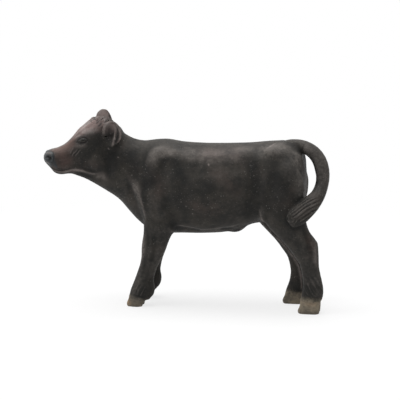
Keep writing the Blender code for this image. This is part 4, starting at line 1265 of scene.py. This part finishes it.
def with_face(p, colour):
    """The rosy face, the grey nose, dark paint and painted shade, and pale paint and painted highlights, over
    the coat.
    """
    rose = p.mix(p.ramp(p.mottle, 0.40, 0.66), ROSE, ROSE_PALE)
    rose = p.mix(p.ramp(p.mask("red"), 0.2, 1.0, 0.0, 0.9), rose, ROSE_RED)
    colour = p.mix(p.grained("rosy", 0.25, 0.55, 0.65, 1.0), colour, rose)
    colour = p.mix(p.mask("nose"), colour, NOSE)
    # Dark zones: dark paint and painted shade
    colour = p.mix(p.times(p.mask("dark"), DARK_AND_SHADE_STRENGTH), colour, WASH_AND_SHADE)
    # Pale zones: mostly painted highlights
    return p.mix(p.grained("pale", 0.3, 0.6, 0.4, 0.9), colour, PALE_AND_HIGHLIGHT)


def with_hooves(p, colour):
    """Horn, over the coat."""
    horn = p.mix(p.ramp(p.mottle, 0.40, 0.66), HOOF, HOOF_PALE)
    colour = p.mix(p.ramp(p.grained("hoof", 0.3, 0.7, 0.6, 1.5), 0.0, 0.95), colour, horn)
    return p.mix(p.grained("toe", 0.3, 0.6, 0.5, 1.0), colour, TOE)


def with_finish(p, colour):
    """Dark hollows, specks of dust and the eyes, over all else."""
    colour = p.mix(p.times(p.mask("hollow"), HOLLOW_WASH), colour, WASH_AND_SHADE)
    dust = p.times(p.ramp(p.specks, 0.64, 0.74, 0.0, 0.55), p.ramp(p.patches, 0.35, 0.65, 0.15, 1.0))
    colour = p.mix(dust, colour, DUST)
    colour = p.mix(p.mask("eye"), colour, IRIS)
    return p.mix(p.mask("pupil"), colour, PUPIL)


def painted_plastic(name, hair):
    """Matte hand paint over plastic, glossier on eyes and nose."""
    material = bpy.data.materials.new(name)
    material.use_nodes = True
    p = Paint(material.node_tree, hair)
    shader = p.tree.nodes["Principled BSDF"].inputs
    p.set(shader["Base Color"], with_finish(p, with_hooves(p, with_face(p, coat(p)))))
    p.set(shader["Specular IOR Level"], SPECULAR_LEVEL)
    gloss = p.math("MAXIMUM", p.mask("eye"), p.times(p.mask("nose"), NOSE_GLOSS))
    matt = p.math("SUBTRACT", 1.0, p.times(gloss, GLOSS))
    p.set(shader["Roughness"], p.times(p.ramp(p.grain, 0.3, 0.7, 0.58, 0.74), matt))
    relief = p.math("ADD", p.times(p.grain, 0.5), p.times(p.hairs, 0.5))
    strength = p.ramp(p.mask("eye"), 0.0, 0.6, 0.5, 0.0)
    bump = p.add("ShaderNodeBump", {"Height": relief, "Strength": strength, "Distance": BUMP_DEPTH})
    p.set(shader["Normal"], bump.outputs["Normal"])
    return material


# How far hair is drawn out along X, Y and Z
HAIR = {"torso": (4, 1, 1), "head": (3, 1, 1.5), "tail": (2, 1, 2),
        **dict.fromkeys(EAR_NODES, (1, 1, 3)), **dict.fromkeys(LEG_NODES, (1, 1, 4))}

add_camera()
whole = whole_skin()
skin = Surface(refined(whole, detail_points(whole)))
skin.soften(BLEND_PASSES, BLEND_STROKES)
skin.sculpt(FORM_STROKES)
skin.sculpt(LEG_STROKES + HEAD_STROKES + EAR_STROKES + TUFT_STROKES, poll_curls(skin) + hoof_lines(skin))
skin.points[:, 2] = np.maximum(skin.points[:, 2], 0)
skin.refresh()
pieces = part_skin(skin, shade_masks(skin))
for node, piece in pieces.items():
    piece.data.materials.append(painted_plastic(node + "_paint", HAIR[node]))
    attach(piece, "root")
    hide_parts(node)


# Floor, backdrop and light
FLOOR_SIDE = 4.0
FLOOR_COLOUR = 0.92
FLOOR_ROUGHNESS = 0.9
FLOOR_SHADOW_SHARE = 0.26
SHADOW_REACH = 0.09
WHITE_REACH = 0.16
WORLD_LIGHT = 0.30
LIT_MIDDLE = Vector((0, 0, 0.03))
# Each soft light's place, side and power
LIGHTS = {"overhead": ((-0.04, 0.03, 0.45), 0.40, 2.3), "front": ((-0.45, -0.20, 0.25), 0.30, 0.7)}


def seen_directly(n):
    """A factor of 1 for camera, glossy and transmission rays, which see the white studio itself."""
    rays = n.add("ShaderNodeLightPath", {}).outputs
    seen = n.math("MAXIMUM", rays["Is Camera Ray"], rays["Is Glossy Ray"])
    return n.math("MAXIMUM", seen, rays["Is Transmission Ray"])


def floor_material():
    """Pale board that keeps a soft shadow and fades to white away from the figure."""
    material = bpy.data.materials.new("floor")
    material.use_nodes = True
    n = Nodes(material.node_tree)
    board = n.tree.nodes["Principled BSDF"]
    board.inputs["Base Color"].default_value = (FLOOR_COLOUR, FLOOR_COLOUR, FLOOR_COLOUR, 1)
    board.inputs["Roughness"].default_value = FLOOR_ROUGHNESS
    distance = n.add("ShaderNodeVectorMath", {0: n.place()}, operation="LENGTH").outputs["Value"]
    white = n.ramp(distance, SHADOW_REACH, WHITE_REACH, 1 - FLOOR_SHADOW_SHARE, 1.0, "LINEAR")
    glow = n.add("ShaderNodeEmission", {})
    share = n.times(seen_directly(n), white)
    mixed = n.add("ShaderNodeMixShader", {0: share, 1: board.outputs[0], 2: glow.outputs[0]})
    n.set(n.tree.nodes["Material Output"].inputs["Surface"], mixed.outputs[0])
    return material


def add_floor():
    half = FLOOR_SIDE / 2
    mesh = bpy.data.meshes.new("floor")
    mesh.from_pydata([(-half, -half, 0), (half, -half, 0), (half, half, 0), (-half, half, 0)], [],
                     [(0, 1, 2, 3)])
    mesh.materials.append(floor_material())
    new_object("floor", mesh)


def add_world():
    world = bpy.data.worlds.new("studio")
    bpy.context.scene.world = world
    world.use_nodes = True
    n = Nodes(world.node_tree)
    background = n.tree.nodes["Background"]
    background.inputs["Color"].default_value = (1, 1, 1, 1)
    n.set(background.inputs["Strength"], n.ramp(seen_directly(n), 0.0, 1.0, WORLD_LIGHT, 1.0, "LINEAR"))


def add_area(name, place, side, power):
    """A square soft light that shines at the figure's middle."""
    light = new_object(name, bpy.data.lights.new(name, "AREA"))
    light.data.size = side
    light.data.energy = power
    light.location = place
    light.rotation_euler = (Vector(place) - LIT_MIDDLE).to_track_quat("Z", "Y").to_euler()


add_floor()
add_world()
for light_name, (place, side, power) in LIGHTS.items():
    add_area(light_name, place, side, power)
bpy.context.scene.view_settings.view_transform = "Standard"
